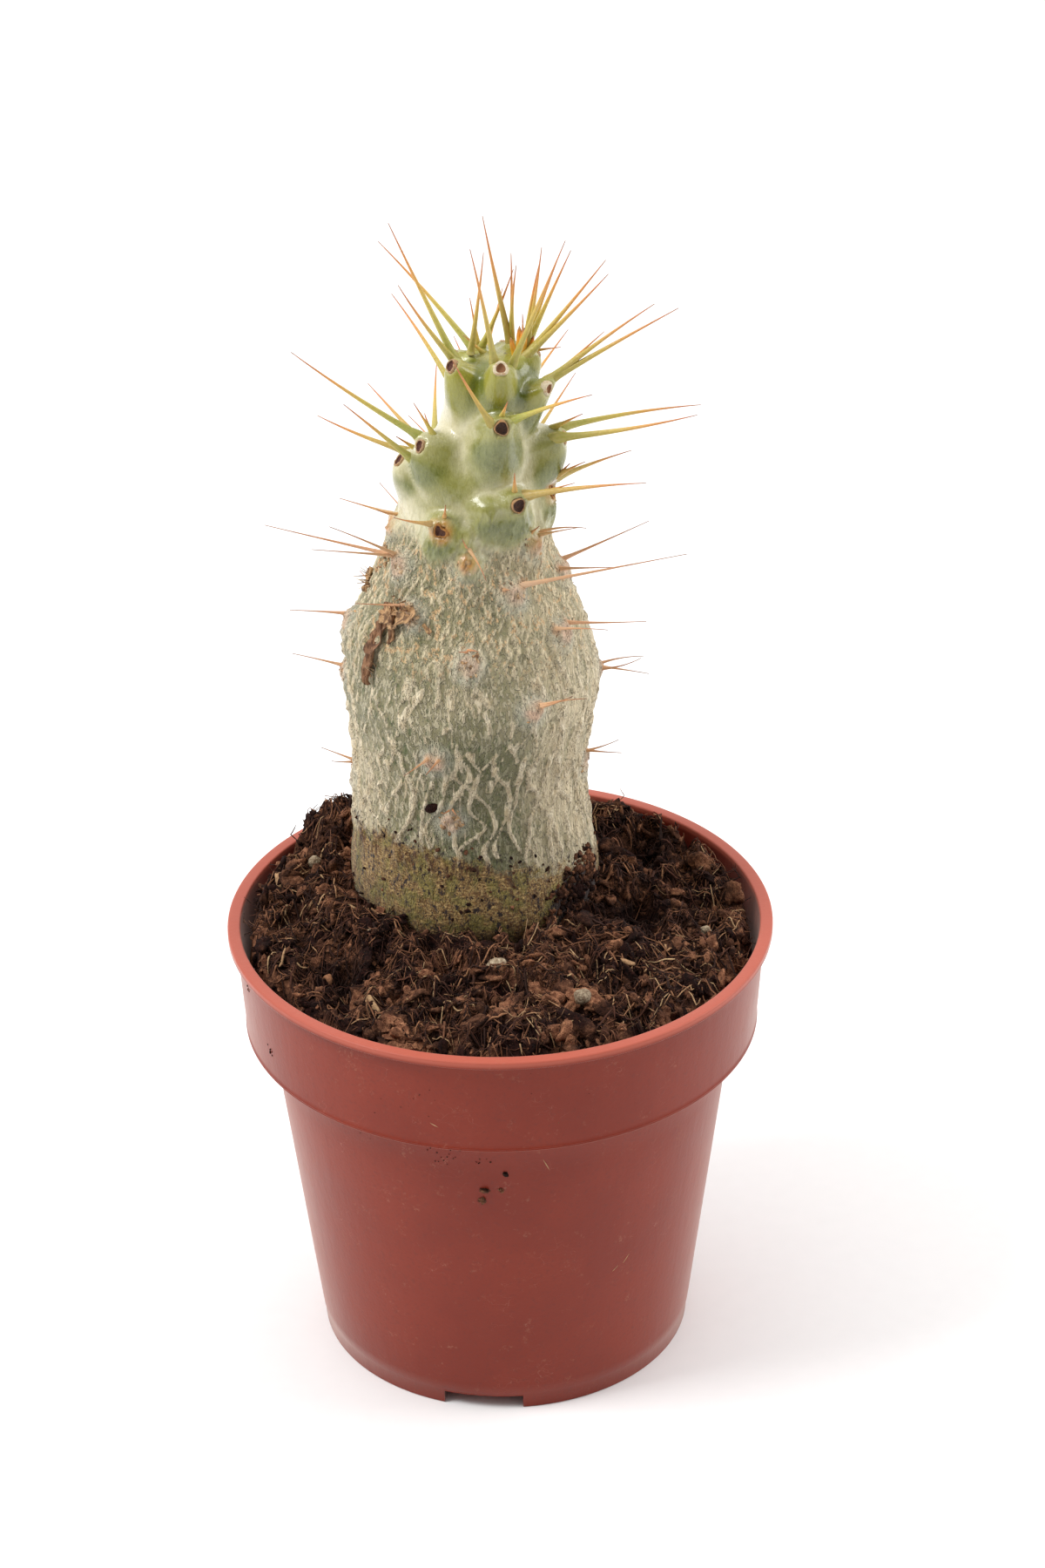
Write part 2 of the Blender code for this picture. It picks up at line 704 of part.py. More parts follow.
def soil_hole_rings(curve, angles, rim):
    """Up the stem's hole, in rows that close in on the rim's own heights at the end.

    Below its neck the hole has half as many sides as the rim.
    """
    rings = []
    for station in stem_rows(curve):
        if station.y < MERGE_DISTANCE:
            rings.append([stem_point(station, 0) - Vector((0.0, 0.0, CLEARANCE))])
        elif station.x < HOLE_NECK:
            rings.append([stem_point(station, angle, CLEARANCE) for angle in angles[::2]])
        else:
            break
    for row in range(HOLE_NECK_ROWS):
        share = row / HOLE_NECK_ROWS
        rings.append([hole_point(curve, angle, blend(HOLE_NECK, top.z, share))
                      for angle, top in zip(angles, rim)])
    return rings


def soil_top_rings(curve, angles):
    """The lumpy top, from the rim of the stem's hole to the pot's wall."""
    rings = [[] for _ in range(SOIL_RINGS + 1)]
    for angle in angles:
        hole = hole_point(curve, angle, SOIL_COLLAR_HEIGHT)
        wall = toward(angle) * (inner_radius(POT_HEIGHT) - CLEARANCE)
        for number, ring in enumerate(rings):
            share = number / SOIL_RINGS
            place = hole.lerp(wall, share)
            ring.append(Vector((place.x, place.y, soil_height(place, share))))
        rings[0][-1] = hole_point(curve, angle, rings[0][-1].z)
        edge = min(rings[-1][-1].z, POT_HEIGHT) - SOIL_EDGE_DROP
        rings[-1][-1] = toward(angle) * (inner_radius(edge) - CLEARANCE) + Vector((0.0, 0.0, edge))
    return rings


def soil_wall_rings(angles):
    """Down the pot's wall, past its ledge and over its floor."""
    ledge = COLLAR_BOTTOM + POT_WALL
    floor = FLOOR_TOP + CLEARANCE
    rings = []
    for height, radius in ((ledge + CLEARANCE, inner_radius(ledge)),
                           (ledge + CLEARANCE, wall_radius(ledge) - POT_WALL),
                           (floor, inner_radius(floor))):
        level = Vector((0.0, 0.0, height))
        rings.append([toward(angle) * (radius - CLEARANCE) + level for angle in angles])
    rings.append([Vector((0.0, 0.0, floor))])
    return rings


def add_soil(curve):
    angles = [360.0 * i / SOIL_SIDES for i in range(SOIL_SIDES)]
    top = soil_top_rings(curve, angles)
    rings = soil_hole_rings(curve, angles, top[0]) + top + soil_wall_rings(angles)
    soil = add_object("soil", skin(rings, "soil"))
    soil.data.materials.append(make_material("potting_soil", SOIL_COLOUR, 0.95))
    return soil


def main():
    clear_scene()
    curve = stem_curve()
    pot = add_pot()
    soil = add_soil(curve)
    plant = add_plant(curve)
    for piece in (pot, soil, plant):
        piece.data.shade_smooth()
    pot.data.set_sharp_from_angle(angle=math.radians(SHARP_ANGLE))


main()
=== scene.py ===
"""The looks of a young pachypodium that grows in a plastic nursery pot.

Sizes and places are in millimetres until a mesh is made, which turns them into metres.
Compass angles are in degrees: they start at the front, -Y, and grow toward +X.
"""

import json
import math
import random

import bmesh
import bpy
import numpy as np
from mathutils import Matrix, Vector
from mathutils import noise as solid_noise
from mathutils.bvhtree import BVHTree

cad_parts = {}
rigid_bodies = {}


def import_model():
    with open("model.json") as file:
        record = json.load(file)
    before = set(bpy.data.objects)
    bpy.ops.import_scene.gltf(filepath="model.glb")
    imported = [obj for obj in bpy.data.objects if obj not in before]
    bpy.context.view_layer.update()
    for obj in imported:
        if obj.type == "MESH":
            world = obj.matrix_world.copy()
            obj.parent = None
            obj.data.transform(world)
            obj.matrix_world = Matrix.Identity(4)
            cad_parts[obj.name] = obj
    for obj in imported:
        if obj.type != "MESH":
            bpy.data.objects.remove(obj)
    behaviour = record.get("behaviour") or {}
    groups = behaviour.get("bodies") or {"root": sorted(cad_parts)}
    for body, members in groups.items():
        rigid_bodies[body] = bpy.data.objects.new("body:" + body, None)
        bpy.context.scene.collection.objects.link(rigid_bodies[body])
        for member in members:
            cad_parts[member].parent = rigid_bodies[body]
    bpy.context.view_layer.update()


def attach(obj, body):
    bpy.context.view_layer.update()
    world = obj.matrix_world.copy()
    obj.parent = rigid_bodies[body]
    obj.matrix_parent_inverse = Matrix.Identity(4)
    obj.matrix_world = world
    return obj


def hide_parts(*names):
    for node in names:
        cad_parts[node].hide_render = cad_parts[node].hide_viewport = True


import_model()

MM = 0.001
CLEARANCE = 0.35

# Camera, fitted to the rim, the collar, the foot and the wall of the pot
CAMERA_PLACE = (0.0, -719.39, 522.76)
CAMERA_LENS = 100.0
CAMERA_SENSOR = 36.0
CAMERA_PITCH = 29.2815
CAMERA_YAW = 0.3675
CAMERA_ROLL = -0.7123

# Light: the room is brightest behind and above, and dim in front. The softboxes, each with
# its place, size and power, the point that they look at and the floor's reach are in metres
ROOM_BRIGHT_SIDE = (0.0, 1.0, 0.7)
ROOM_RANGE = (-0.75, 0.5, 0.06, 1.1)
ROOM_COLOUR = (1.0, 0.99, 0.98, 1.0)
SOFTBOXES = (
    ("key", (-0.85, -0.25, 1.1), 0.5, 11.5),
    ("fill", (1.1, 0.15, 0.8), 0.8, 7.5),
)
LIGHT_AIM = (0.0, 0.0, 0.12)
FLOOR_REACH = 4.0

# Pot: a standard 10.5 cm nursery pot
POT_HEIGHT = 90.5
POT_WALL = 1.2
POT_COLUMNS = 288
RIM_RADIUS = 52.5
RIM_WIDTH = 2.5
RIM_THICKNESS = 1.5
RIM_ROUNDING = 0.4
COLLAR_TOP_RADIUS = 51.0
COLLAR_BOTTOM_RADIUS = 49.6
COLLAR_BOTTOM = 69.2
WALL_TOP_RADIUS = 45.1
FOOT_RADIUS = 36.4
FOOT_HEIGHT = 3.0
NOTCH_WIDTH = 15.5
NOTCH_REACH = 8.0
NOTCH_COMPASS = (-7.5, 112.5, 232.5)
DRAIN_HOLE_RADIUS = 3.5
DRAIN_HOLE_COUNT = 6
DRAIN_HOLE_SIDES = 40
DRAIN_RING_RADIUS = 24.0
FLOOR_TOP = FOOT_HEIGHT + POT_WALL
TRIM_LINE = 3.4
TRIM_STEP = 0.15
COLLAR_BEAD = 0.2
POT_SHARP_ANGLE = 38

# Stem: height, radius and lean toward +X of each station
STEM_DEPTH = 11.0
STEM_STATIONS = (
    (38, 0, -4.6),
    (48, 3, -4.6),
    (62, 6, -4.6),
    (75, 12, -4.6),
    (85, 19.5, -4.6),
    (92, 23.4, -4.6),
    (98, 24.0, -4.8),
    (108, 22.6, -5.3),
    (119, 21.8, -5.5),
    (129, 22.8, -5.0),
    (138, 23.6, -4.7),
    (149, 21.6, -5.1),
    (157, 18.6, -4.9),
    (164, 15.8, -4.9),
    (170, 14.0, -4.2),
    (176, 12.8, -3.8),
    (181, 11.8, -3.2),
    (186, 9.6, -1.8),
    (191, 8.5, -1.0),
    (196, 8.2, 0.0),
    (200.5, 6.8, 1.0),
    (202.6, 3.8, 2.2),
    (203.2, 0, 2.6),
)
STATION_STEPS = 60
STEM_COLUMNS = 320
STEM_ROW_SPACING = 0.46
HOLLOW_SIZE = 2.7
HOLLOW_ROWS = 12
HOLLOW_DEPTH = 1.6
BURIED_ROW_SPACING = 6.0
BURIED_TOP = 86.0

# Leaf scars by style: disc radius, rim width, darkness of the disc, paleness of the rim
SCAR_STYLES = {
    "ringed": (0.8, 0.46, 0.4, 0.95),
    "dark": (1.1, 0.2, 1.0, 0.2),
    "plum": (0.85, 0.26, 0.85, 0.3),
    "brown": (0.85, 0.4, 0.9, 0.0),
    "worn": (0.42, 0.26, 0.4, 0.5),
}

# Scars: points from the disc's middle over the rim, each with its reach, its height and how
# far it belongs to the rim. Worn scars on the old part stand on a low pad
SCAR_SIDES = 30
SCAR_TALLNESS = 1.14
SCAR_PROFILE = (
    (0.45, -0.42, 0.0),
    (0.8, -0.34, 0.0),
    (0.97, -0.1, 0.2),
    (1.15, 0.1, 1.0),
    (1.5, 0.12, 1.0),
    (1.85, 0.0, 1.0),
    (2.15, -0.5, 1.0),
    (2.0, -1.1, 1.0),
)
SCAR_DEPTH = 0.8
WORN_SCAR_DEPTH = 0.35
PAD_TOP = 180.0
PAD_HEIGHT = 0.35

# Tubercles: height and compass of the leaf scar, how much stouter than others of its height
# the tubercle is, the scar's style, then the spines, each with its compass, its rise above
# level and its length
SEEN_TUBERCLES = (
    (204.5, 4, 1.0, "ringed", ((-27, 71, 27), (60, 67, 29))),
    (203.6, -53, 1.0, "plum", ((-97, 66, 29), (-68, 57, 20))),
    (202.4, -110, 0.5, "worn", ((-116, 44, 27), (90, 82, 21), (-100, 43, 5))),
    (201.0, -165, 0.4, "worn", ((-140, 76, 10), (60, 67, 19))),
    (201.0, 150, 0.4, "worn", ((110, 69, 18), (80, 67, 22))),
    (203.0, 95, 0.4, "worn", ((80, 48, 23), (88, 52, 24), (67, 17, 7))),
    (202.6, 175, 0.3, "worn", ((-74, 79, 27), (10, 88, 19), (17, 79, 18))),
    (202.8, 125, 0.3, "worn", ((72, 81, 21), (80, 81, 18), (60, 88, 7))),
    (198.9, 58, 1.0, "ringed", ((85, 39, 25), (86, 32, 28), (95, 42, 14))),
    (194.2, 11, 1.1, "dark", ((-60, 61, 16), (59, 28, 19), (24, 57, 5))),
    (188.6, -56, 1.0, "plum", ((-88, 37, 29), (-100, 60, 7))),
    (187.4, 80, 1.2, "plum", ((75, 15, 27), (104, 3, 27), (53, 35, 8))),
    (184.3, -73, 1.0, "plum", ((-109, 15, 18), (-64, 46, 19), (-70, 40, 5))),
    (178.9, 31, 1.0, "dark", ((61, 18, 26), (64, 25, 11), (0, 70, 5))),
    (177.3, 74, 0.8, "brown", ((104, 15, 15), (50, 36, 8), (60, 50, 4))),
    (174.5, -22, 1.0, "brown", ((-39, 26, 12), (10, 60, 4))),
    (170.4, -79, 0.6, "worn", ((-108, 10, 11), (-62, 20, 5))),
    (169.3, 49, 0.8, "worn", ((62, 22, 9), (82, 12, 9), (29, 40, 4))),
    (168.6, -2, 1.1, "worn", ((-25, 55, 4), (35, -35, 7))),
    (165.4, -52, 0.8, "worn", ((-93, 14, 25), (-58, 19, 19), (-54, 35, 18))),
    (161.7, 29, 0.9, "worn", ((92, 10, 31), (8, 26, 9))),
    (160.3, 82, 0.8, "worn", ((97, 22, 18), (58, 15, 13))),
    (158.0, -35, 1.0, "worn", ((-89, 4, 9),)),
    (152.0, 56, 1.0, "worn", ((85, 2, 15), (56, 15, 12))),
    (149.3, -90, 1.6, "worn", ((-90, 5, 11),)),
    (150.4, 0, 1.0, "worn", ((-40, 20, 3), (40, 20, 3))),
    (138.7, -88, 1.0, "worn", ((-94, 14, 10),)),
    (137.5, 94, 0.5, "worn", ((90, -10, 10), (92, 12, 9), (75, 18, 9))),
    (140.3, 29, 1.0, "worn", ((44, 27, 14), (41, 32, 11))),
    (130.8, -17, 1.0, "worn", ((-27, 7, 10), (-16, 10, 9))),
    (119.8, 82, 1.0, "worn", ((90, 17, 7), (64, 8, 8))),
    (117.0, -88, 1.0, "worn", ((-95, 22, 7), (-65, 12, 5))),
    (117.6, -9, 1.0, "worn", ((-30, 10, 3), (20, 5, 3))),
)

# Swellings beside tubercles: height, compass and stoutness, as for a tubercle
SWELLINGS = (
    (178.4, 13, 0.8),
    (173.4, -7, 0.7),
)

# Tubercles of the far side: a golden-angle spiral down the stem
GOLDEN_ANGLE = 137.5
SPIRAL_START = 60.0
SPIRAL_TOP = 190.0
SPIRAL_DROP = 0.55
SPIRAL_POWER = 1.3
SPIRAL_COUNT = 43
FAR_SIDE_COMPASS = 126.0
FAR_SIDE_SPINE_COMPASS = 142.0
FAR_SIDE_SEED = 5
SPINE_SPREAD = 38.0
HEADING_DRAW = 10.0
RISE_DRAW = (-6.0, 8.0)
LENGTH_DRAW = (0.75, 1.0)
MIDDLE_SPINE_HEIGHT = 165.0
MIDDLE_SPINE_RISE = 30.0
MIDDLE_SPINE_SHARE = 0.2
PLUM_HEIGHT = 178.0
BROWN_HEIGHT = 168.0

# Growth by height: height, how far a tubercle stands out, its half width, how steeply it
# points up, and the length and rise of its spines
GROWTH = (
    (110, 0.5, 2.2, 0, 5, 5),
    (135, 0.7, 2.4, 0, 8, 8),
    (150, 0.9, 2.6, 5, 12, 12),
    (165, 1.6, 3.0, 10, 19, 18),
    (175, 3.0, 3.8, 15, 19, 24),
    (190, 5.4, 4.0, 22, 24, 32),
    (198, 5.0, 3.5, 34, 26, 45),
    (205, 5.0, 3.0, 56, 28, 66),
)
TUBERCLE_RISE_SHARE = 0.75
TUBERCLE_DROP_SHARE = 2.0
TUBERCLE_SPREAD = 0.6
TUBERCLE_SPREAD_DROP = 8.0
TUBERCLE_STEEPNESS = 1.6
TUBERCLE_PARTING = 8
GROOVE_WIDTH = 0.9
FRAME_STEP = 0.4

# Raised strands on the bark: how many stand round the stem, the length of their waves and
# half their width
NET_STRANDS = (46, 21.0, 0.42)
NET_HEIGHT = 0.65
DASHES = (72, 15.0, 0.34)
DASH_BREAKS = 2.6
FINE_STRANDS = (120, 12.0, 0.3)
FINE_NET_HEIGHT = 0.22
WRINKLES = (132, 4.2, 0.26)
WRINKLE_BREAKS = 1.6
WRINKLE_HEIGHT = 0.4
STRAND_BREAKS = 6.0
STRAND_STEM_RADIUS = 22.5
STRAND_NOISE_STEP = 7.3
STRAND_PHASE = 2.2
STRAND_WAVE = 0.45
STRAND_WANDER = 0.55
RUMPLE_HEIGHT = 0.16
DENT_HEIGHT = 0.35
LIP_HEIGHT = 0.2

# Zones up the stem: where each kind of relief starts and is full, then where it begins to
# fade and ends
NET_ZONE = (103.0, 109.0, 150.0, 162.0)
DASH_ZONE = (118.0, 126.0, 148.0, 154.0)
WRINKLE_ZONE = (144.0, 152.0, 172.0, 178.0)
DENT_ZONE = (90.0, 98.0, 172.0, 180.0)
LIP_ZONE = (169.5, 173.5, 173.0, 182.0)

# Stain of old soil: its upper edge as compass and height, and a smear on the right
STAIN_EDGE = (
    (-180, 102.0),
    (-85, 107.0),
    (-48, 112.0),
    (-26, 111.5),
    (0, 109.0),
    (30, 105.5),
    (76, 100.5),
    (180, 102.0),
)
SMEAR_PLACE = (58, 96.0)
SMEAR_SIZE = (10.5, 10.5, 6.5)

# Spines: stout and flared at the root and drawn out to a point
SPINE_SIDES = 8
SPINE_STEPS = 15
SPINE_SHARE = np.linspace(0.0, 1.0, SPINE_STEPS) ** 1.25
SPINE_ROOT_RADIUS = 0.8
SPINE_TIP_RADIUS = 0.07
SPINE_FLARE = 0.5
SPINE_SIDE_STEP = 1.9
SPINE_RAISE = 1.2
OLD_HEIGHT = 150.0
OLD_SPINE_SPREAD = 0.55
OLD_GIRTH = 0.5
GIRTH_RISE = (166.0, 14.0)
ROOT_FLARE_WIDTH = 1.35
ROOT_FLARE_HEIGHT = 0.85
SPINE_SINK = 2.2
SPINE_SINK_BEND = 1.6
SPINE_SWAY = 0.03
OLD_SHORT_SPINE_SWAY = 0.09
YOUTH_RISE = (163.0, 22.0)
SHORT_SPINE = 9.0
SHORT_SPINE_STEP = 2.4

# Bud: the place, compass, rise, length and half width of each young leaf
BUD_FOOT = 201.0
BUD_SIDES = 10
BUD_LEAVES = (
    (5.4, 11.0, 60, 84, 7.4, 0.95),
    (4.6, 10.4, -60, 78, 6.0, 0.6),
    (6.2, 11.6, 90, 74, 5.6, 0.6),
    (5.0, 12.4, 170, 80, 6.6, 0.7),
)

# Dry leaf remains: the course of each strip over the bark as compass and height, its half
# width, how far it curls and its tone, then tufts of bristles, knots of crust and clods, each
# with its compass, height, spread and number, and the clods with their size
STRIP_ROWS = 26
STRIP_COLUMNS = 8
STRIP_THICKNESS = 0.25
DRY_STRIPS = (
    (((-31, 158.8), (-40, 157.0), (-47, 156.2), (-55, 157.0)), 2.0, 0.9, 0.75),
    (((-49, 158.5), (-51, 154.0), (-53, 150.0), (-55, 147.0), (-53, 142.8)), 1.3, 1.0, 0.5),
    (((-43, 157.0), (-42, 154.5), (-43, 151.8)), 1.2, 0.8, 0.6),
    (((-26, 156.8), (-24, 156.0), (-21, 155.4)), 0.55, 0.3, 0.8),
    (((-86, 155.6), (-90, 157.4), (-92, 159.6)), 0.7, 0.6, 0.8),
)
BRISTLE_STEPS = 5
BRISTLE_SIDES = 4
BRISTLES = (
    (-42, 158.5, 10, 18),
    (-88, 157.5, 6, 14),
    (-54, 145.0, 3, 5),
)
FLAKE_TOP = 172.0
CRUSTS = (
    (-78, 164.0, 2.4, 26),
    (-84, 161.0, 1.5, 8),
    (-89, 157.0, 1.6, 10),
    (2, 150.4, 2.2, 7),
    (-9, 117.6, 2.4, 9),
)
BARK_SPECKS = 170
BARK_CLODS = (
    (-18.3, 120.0, 0.1, 1, 3.0),
    (60, 97.5, 7.0, 150, 0.8),
    (46, 94.5, 6.5, 130, 0.8),
    (66, 101.0, 4.0, 40, 0.6),
    (58, 95.0, 5.0, 16, 1.5),
)

# Soil: a plain fill with a lumpy top, each lump with its place, height and spread
SOIL_COLUMNS = 400
SOIL_RINGS = 104
SOIL_LEVEL = 88.5
SOIL_COLLAR_HEIGHT = 93.0
SOIL_LINE = 95.0
ABOVE_SOIL = 140.0
SOIL_EDGE_DROP = 2.0
SOIL_EDGE_SHARE = 0.07
SOIL_HOLE_ROWS = (46.0, 62.0, 75.0, 82.0, 86.0)
SOIL_HOLE_BOTTOM = 40.0
FINE_GRAIN_HEIGHT = 1.2
# How strongly the painted shade darkens the soil's pits
PIT_SHADE = 1.4
GRAIN_SIZE = 9.0
GRAIN_HEIGHT = 1.6
CLOD_SIZE = 6.5
CLOD_HEIGHT = 1.5
CLOD_CREASE = 5.0
SOIL_LUMPS = (
    (-33, 30, 9.0, 9),
    (-40, 5, 2.0, 14),
    (24, 44, 2.5, 7),
    (28, 25, -8.0, 6.5),
    (32, 34, 2.5, 9),
    (0, 42, -5.0, 10),
    (25, -1, -6.5, 6.5),
    (-30, -20, -4.5, 5.5),
    (-22, -14, 1.5, 7),
    (6, -30, 1.0, 12),
)

# Small things all over the soil: the number, smallest and largest size and fineness of
# crumbs and clods, and the fibres' number and their width from end to end
SOIL_CRUMBS = (
    ("soil_crumbs", 2450, 0.4, 1.6, 2),
    ("soil_clods", 240, 1.3, 2.8, 3),
)
FIBRE_COUNT = 5800
FIBRE_STEPS = 6
FIBRE_SIDES = 3
FIBRE_TAPER = (0.6, 1.0, 1.0, 0.9, 0.8, 0.45)

# Loose things on the soil: the place, size and tone of pebbles, the place, course and length
# of chips, then the foot, the course and the lengths along and up of roots that stand out
PEBBLES = (
    (-0.8, -23.5, 1.9, 0.95),
    (15.1, -34.0, 1.5, 0.6),
    (-25.0, -12.0, 0.6, 1.0),
    (-36.0, 16.0, 1.2, 0.8),
    (39.3, -6.0, 1.1, 0.75),
    (8.0, -19.0, 0.6, 1.0),
)
CHIP_STEPS = 7
CHIP_SIDES = 8
CHIPS = (
    (-2.3, -18.0, 80, 4.6),
    (-33.0, -19.0, 30, 3.4),
    (24.0, -21.0, 100, 3.0),
    (18.0, -35.0, 60, 2.8),
    (-24.0, -31.0, 50, 3.2),
    (40.0, -4.0, 140, 3.0),
    (-43.0, 12.0, 10, 3.6),
)
STANDING_ROOTS = (
    (36.0, 27.0, 20, 1.0, 7.5),
    (30.0, 31.0, 75, 6.0, 2.5),
    (-45.5, 8.0, -80, 1.0, 5.0),
    (-30.0, 33.0, -60, 5.0, 3.0),
    (8.0, -18.0, 95, 9.0, 2.0),
)

# Dirt on the pot: the compass, height, spread, size and number of specks, then the compass,
# height, slant and length of scratches
POT_DIRT = (
    (-0.6, 56.6, 0.3, 0.7, 3),
    (-5.2, 63.7, 1.4, 0.28, 6),
    (0.4, 60.6, 0.4, 0.75, 3),
    (-4.8, 56.2, 0.35, 0.95, 4),
    (-5.0, 53.9, 0.35, 0.9, 4),
    (-71.0, 85.5, 1.0, 0.3, 10),
    (-61.0, 76.0, 1.0, 0.35, 6),
    (-36.0, 65.5, 2.6, 0.22, 12),
    (-14.0, 64.0, 1.8, 0.24, 14),
    (-22.0, 80.0, 9.0, 0.16, 12),
    (12.0, 84.0, 8.0, 0.16, 8),
)
POT_SCRATCHES = (
    (11.1, 62.0, -25, 3.0),
    (33.9, 33.0, 40, 2.4),
    (30.5, 31.5, 55, 1.8),
    (-14.0, 74.5, -60, 1.6),
)


def srgb(red, green, blue):
    """A colour from 0 to 255 as the renderer wants it."""
    channels = []
    for value in (red, green, blue):
        value /= 255.0
        channels.append(value / 12.92 if value < 0.04045 else ((value + 0.055) / 1.055) ** 2.4)
    return (*channels, 1.0)


def heading(compass):
    """Level unit directions of compass angles."""
    angle = np.radians(np.asarray(compass, float))
    return np.stack([np.sin(angle), -np.cos(angle), np.zeros_like(angle)], axis=-1)


def toward(compass, rise):
    """The unit direction of a compass angle and a rise above level."""
    slope = math.radians(rise)
    return heading(compass) * math.cos(slope) + np.array([0.0, 0.0, math.sin(slope)])


def fade(value, start, length):
    """Rises smoothly from 0 at start to 1 a length further on."""
    share = np.clip((np.asarray(value, float) - start) / length, 0.0, 1.0)
    return share * share * (3.0 - 2.0 * share)


def fall(value, start, length):
    """Falls smoothly from 1 at start to 0 a length further on."""
    return 1.0 - fade(value, start, length)


def within(value, zone):
    """1 inside a zone, which gives the start and end of its rise, then those of its fall."""
    start, full, last, end = zone
    return fade(value, start, full - start) * fall(value, last, end - last)


def signed(compass):
    """Compass angles from -180 to 180, so that those left of the front are negative."""
    return (compass + 180.0) % 360.0 - 180.0


def unit(vectors):
    """The vectors with their lengths brought to 1."""
    return vectors / np.linalg.norm(vectors, axis=-1, keepdims=True)


def lattice(cells, seed):
    """A repeatable number from 0 to 1 for each lattice cell."""
    mixed = cells[..., 0] * 374761393 + cells[..., 1] * 668265263
    mixed = mixed + cells[..., 2] * 1274126177 + seed * 362437
    mixed = (mixed ^ (mixed >> 13)) * 1103515245
    mixed = (mixed ^ (mixed >> 16)) * 69069
    return ((mixed ^ (mixed >> 15)) & 0xFFFFFF) / 0xFFFFFF


def noise(points, size, seed=0):
    """Smooth noise from -1 to 1, its lumps about a size across."""
    spots = points / np.asarray(size, float)
    cells = np.floor(spots).astype(np.int64)
    share = spots - cells
    share = share * share * (3.0 - 2.0 * share)
    total = np.zeros(points.shape[:-1])
    for corner in np.ndindex(2, 2, 2):
        weight = np.prod(np.where(corner, share, 1.0 - share), axis=-1)
        total += weight * lattice(cells + np.array(corner), seed)
    return total * 2.0 - 1.0


def rough(points, size, layers=4, seed=0):
    """Noise with ever finer and weaker noise on top of it."""
    size = np.asarray(size, float)
    return sum(noise(points, size / 2 ** layer, seed + layer) / 2 ** layer
               for layer in range(layers)) * 0.6


def make_mesh(name, points, faces, **attributes):
    """A mesh from points in millimetres and arrays of faces, with a number per point."""
    mesh = bpy.data.meshes.new(name)
    mesh.vertices.add(len(points))
    mesh.vertices.foreach_set("co", (points * MM).astype(np.float32).ravel())
    corners = np.concatenate([group.ravel() for group in faces])
    sizes = np.concatenate([np.full(len(group), group.shape[1]) for group in faces])
    mesh.loops.add(len(corners))
    mesh.loops.foreach_set("vertex_index", corners.astype(np.int32))
    mesh.polygons.add(len(sizes))
    mesh.polygons.foreach_set("loop_start", (np.cumsum(sizes) - sizes).astype(np.int32))
    mesh.update(calc_edges=True)
    for key, values in attributes.items():
        layer = mesh.attributes.new(key, "FLOAT", "POINT")
        layer.data.foreach_set("value", np.asarray(values, np.float32))
    mesh.shade_smooth()
    return mesh


def new_object(name, data):
    """An object of the scene."""
    item = bpy.data.objects.new(name, data)
    bpy.context.scene.collection.objects.link(item)
    return item


def add_piece(name, mesh, material, replaces=None):
    """A piece of the object: it rides on the pot's one body."""
    piece = new_object(name, mesh)
    mesh.materials.append(material)
    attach(piece, "root")
    if replaces:
        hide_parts(replaces)


def ring_faces(rows, columns):
    """Four-sided faces between rows of points that each run once round."""
    row, column = np.meshgrid(np.arange(rows - 1), np.arange(columns), indexing="ij")
    after = (column + 1) % columns
    start = row * columns
    faces = np.stack([start + column, start + after, start + columns + after,
                      start + columns + column], axis=-1)
    return faces.reshape(-1, 4)


def fan_faces(middle, ring):
    """Triangles from a middle point to a ring."""
    return np.stack([np.full(len(ring), middle), ring, np.roll(ring, -1)], axis=-1)


def closed_skin(rings, first, last):
    """Points and faces of a stack of rings, closed by a point at each end."""
    rows, columns = rings.shape[:2]
    points = np.concatenate([rings.reshape(-1, 3), [first], [last]])
    count = rows * columns
    faces = [ring_faces(rows, columns),
             fan_faces(count, np.arange(columns)[::-1]),
             fan_faces(count + 1, np.arange(count - columns, count))]
    return points, faces


def copies(points, faces, count):
    """The faces of so many copies of one shape, whose points follow each other."""
    shift = (np.arange(count) * points)[:, None, None]
    return [(group[None] + shift).reshape(-1, group.shape[1]) for group in faces]


def tubes(paths, radii, sides, flatness=1.0, twist=0.0):
    """Closed tubes along paths; a flatness under 1 makes ribbons of them."""
    paths, radii = np.array(paths), np.array(radii)
    count, steps = paths.shape[:2]
    along = unit(np.gradient(paths, axis=1))
    helper = np.zeros((count, 1, 3))
    steep = np.abs(along[:, :1, 2]) > 0.8
    helper[..., 0] = steep
    helper[..., 2] = ~steep
    across = unit(np.cross(along, np.broadcast_to(helper, along.shape)))
    over = np.cross(across, along)
    turns = 2.0 * np.pi * np.arange(sides) / sides + twist
    turns = np.broadcast_to(turns, (count, sides))[:, None, :, None]
    ring = np.cos(turns) * across[:, :, None] + np.sin(turns) * over[:, :, None] * flatness
    points = paths[:, :, None] + radii[:, :, None, None] * ring
    ends = [np.arange(sides)[None], (np.arange(sides) + sides * (steps - 1))[None, ::-1]]
    faces = copies(steps * sides, [ring_faces(steps, sides)[:, ::-1]] + ends, count)
    return points.reshape(-1, 3), faces


# Materials


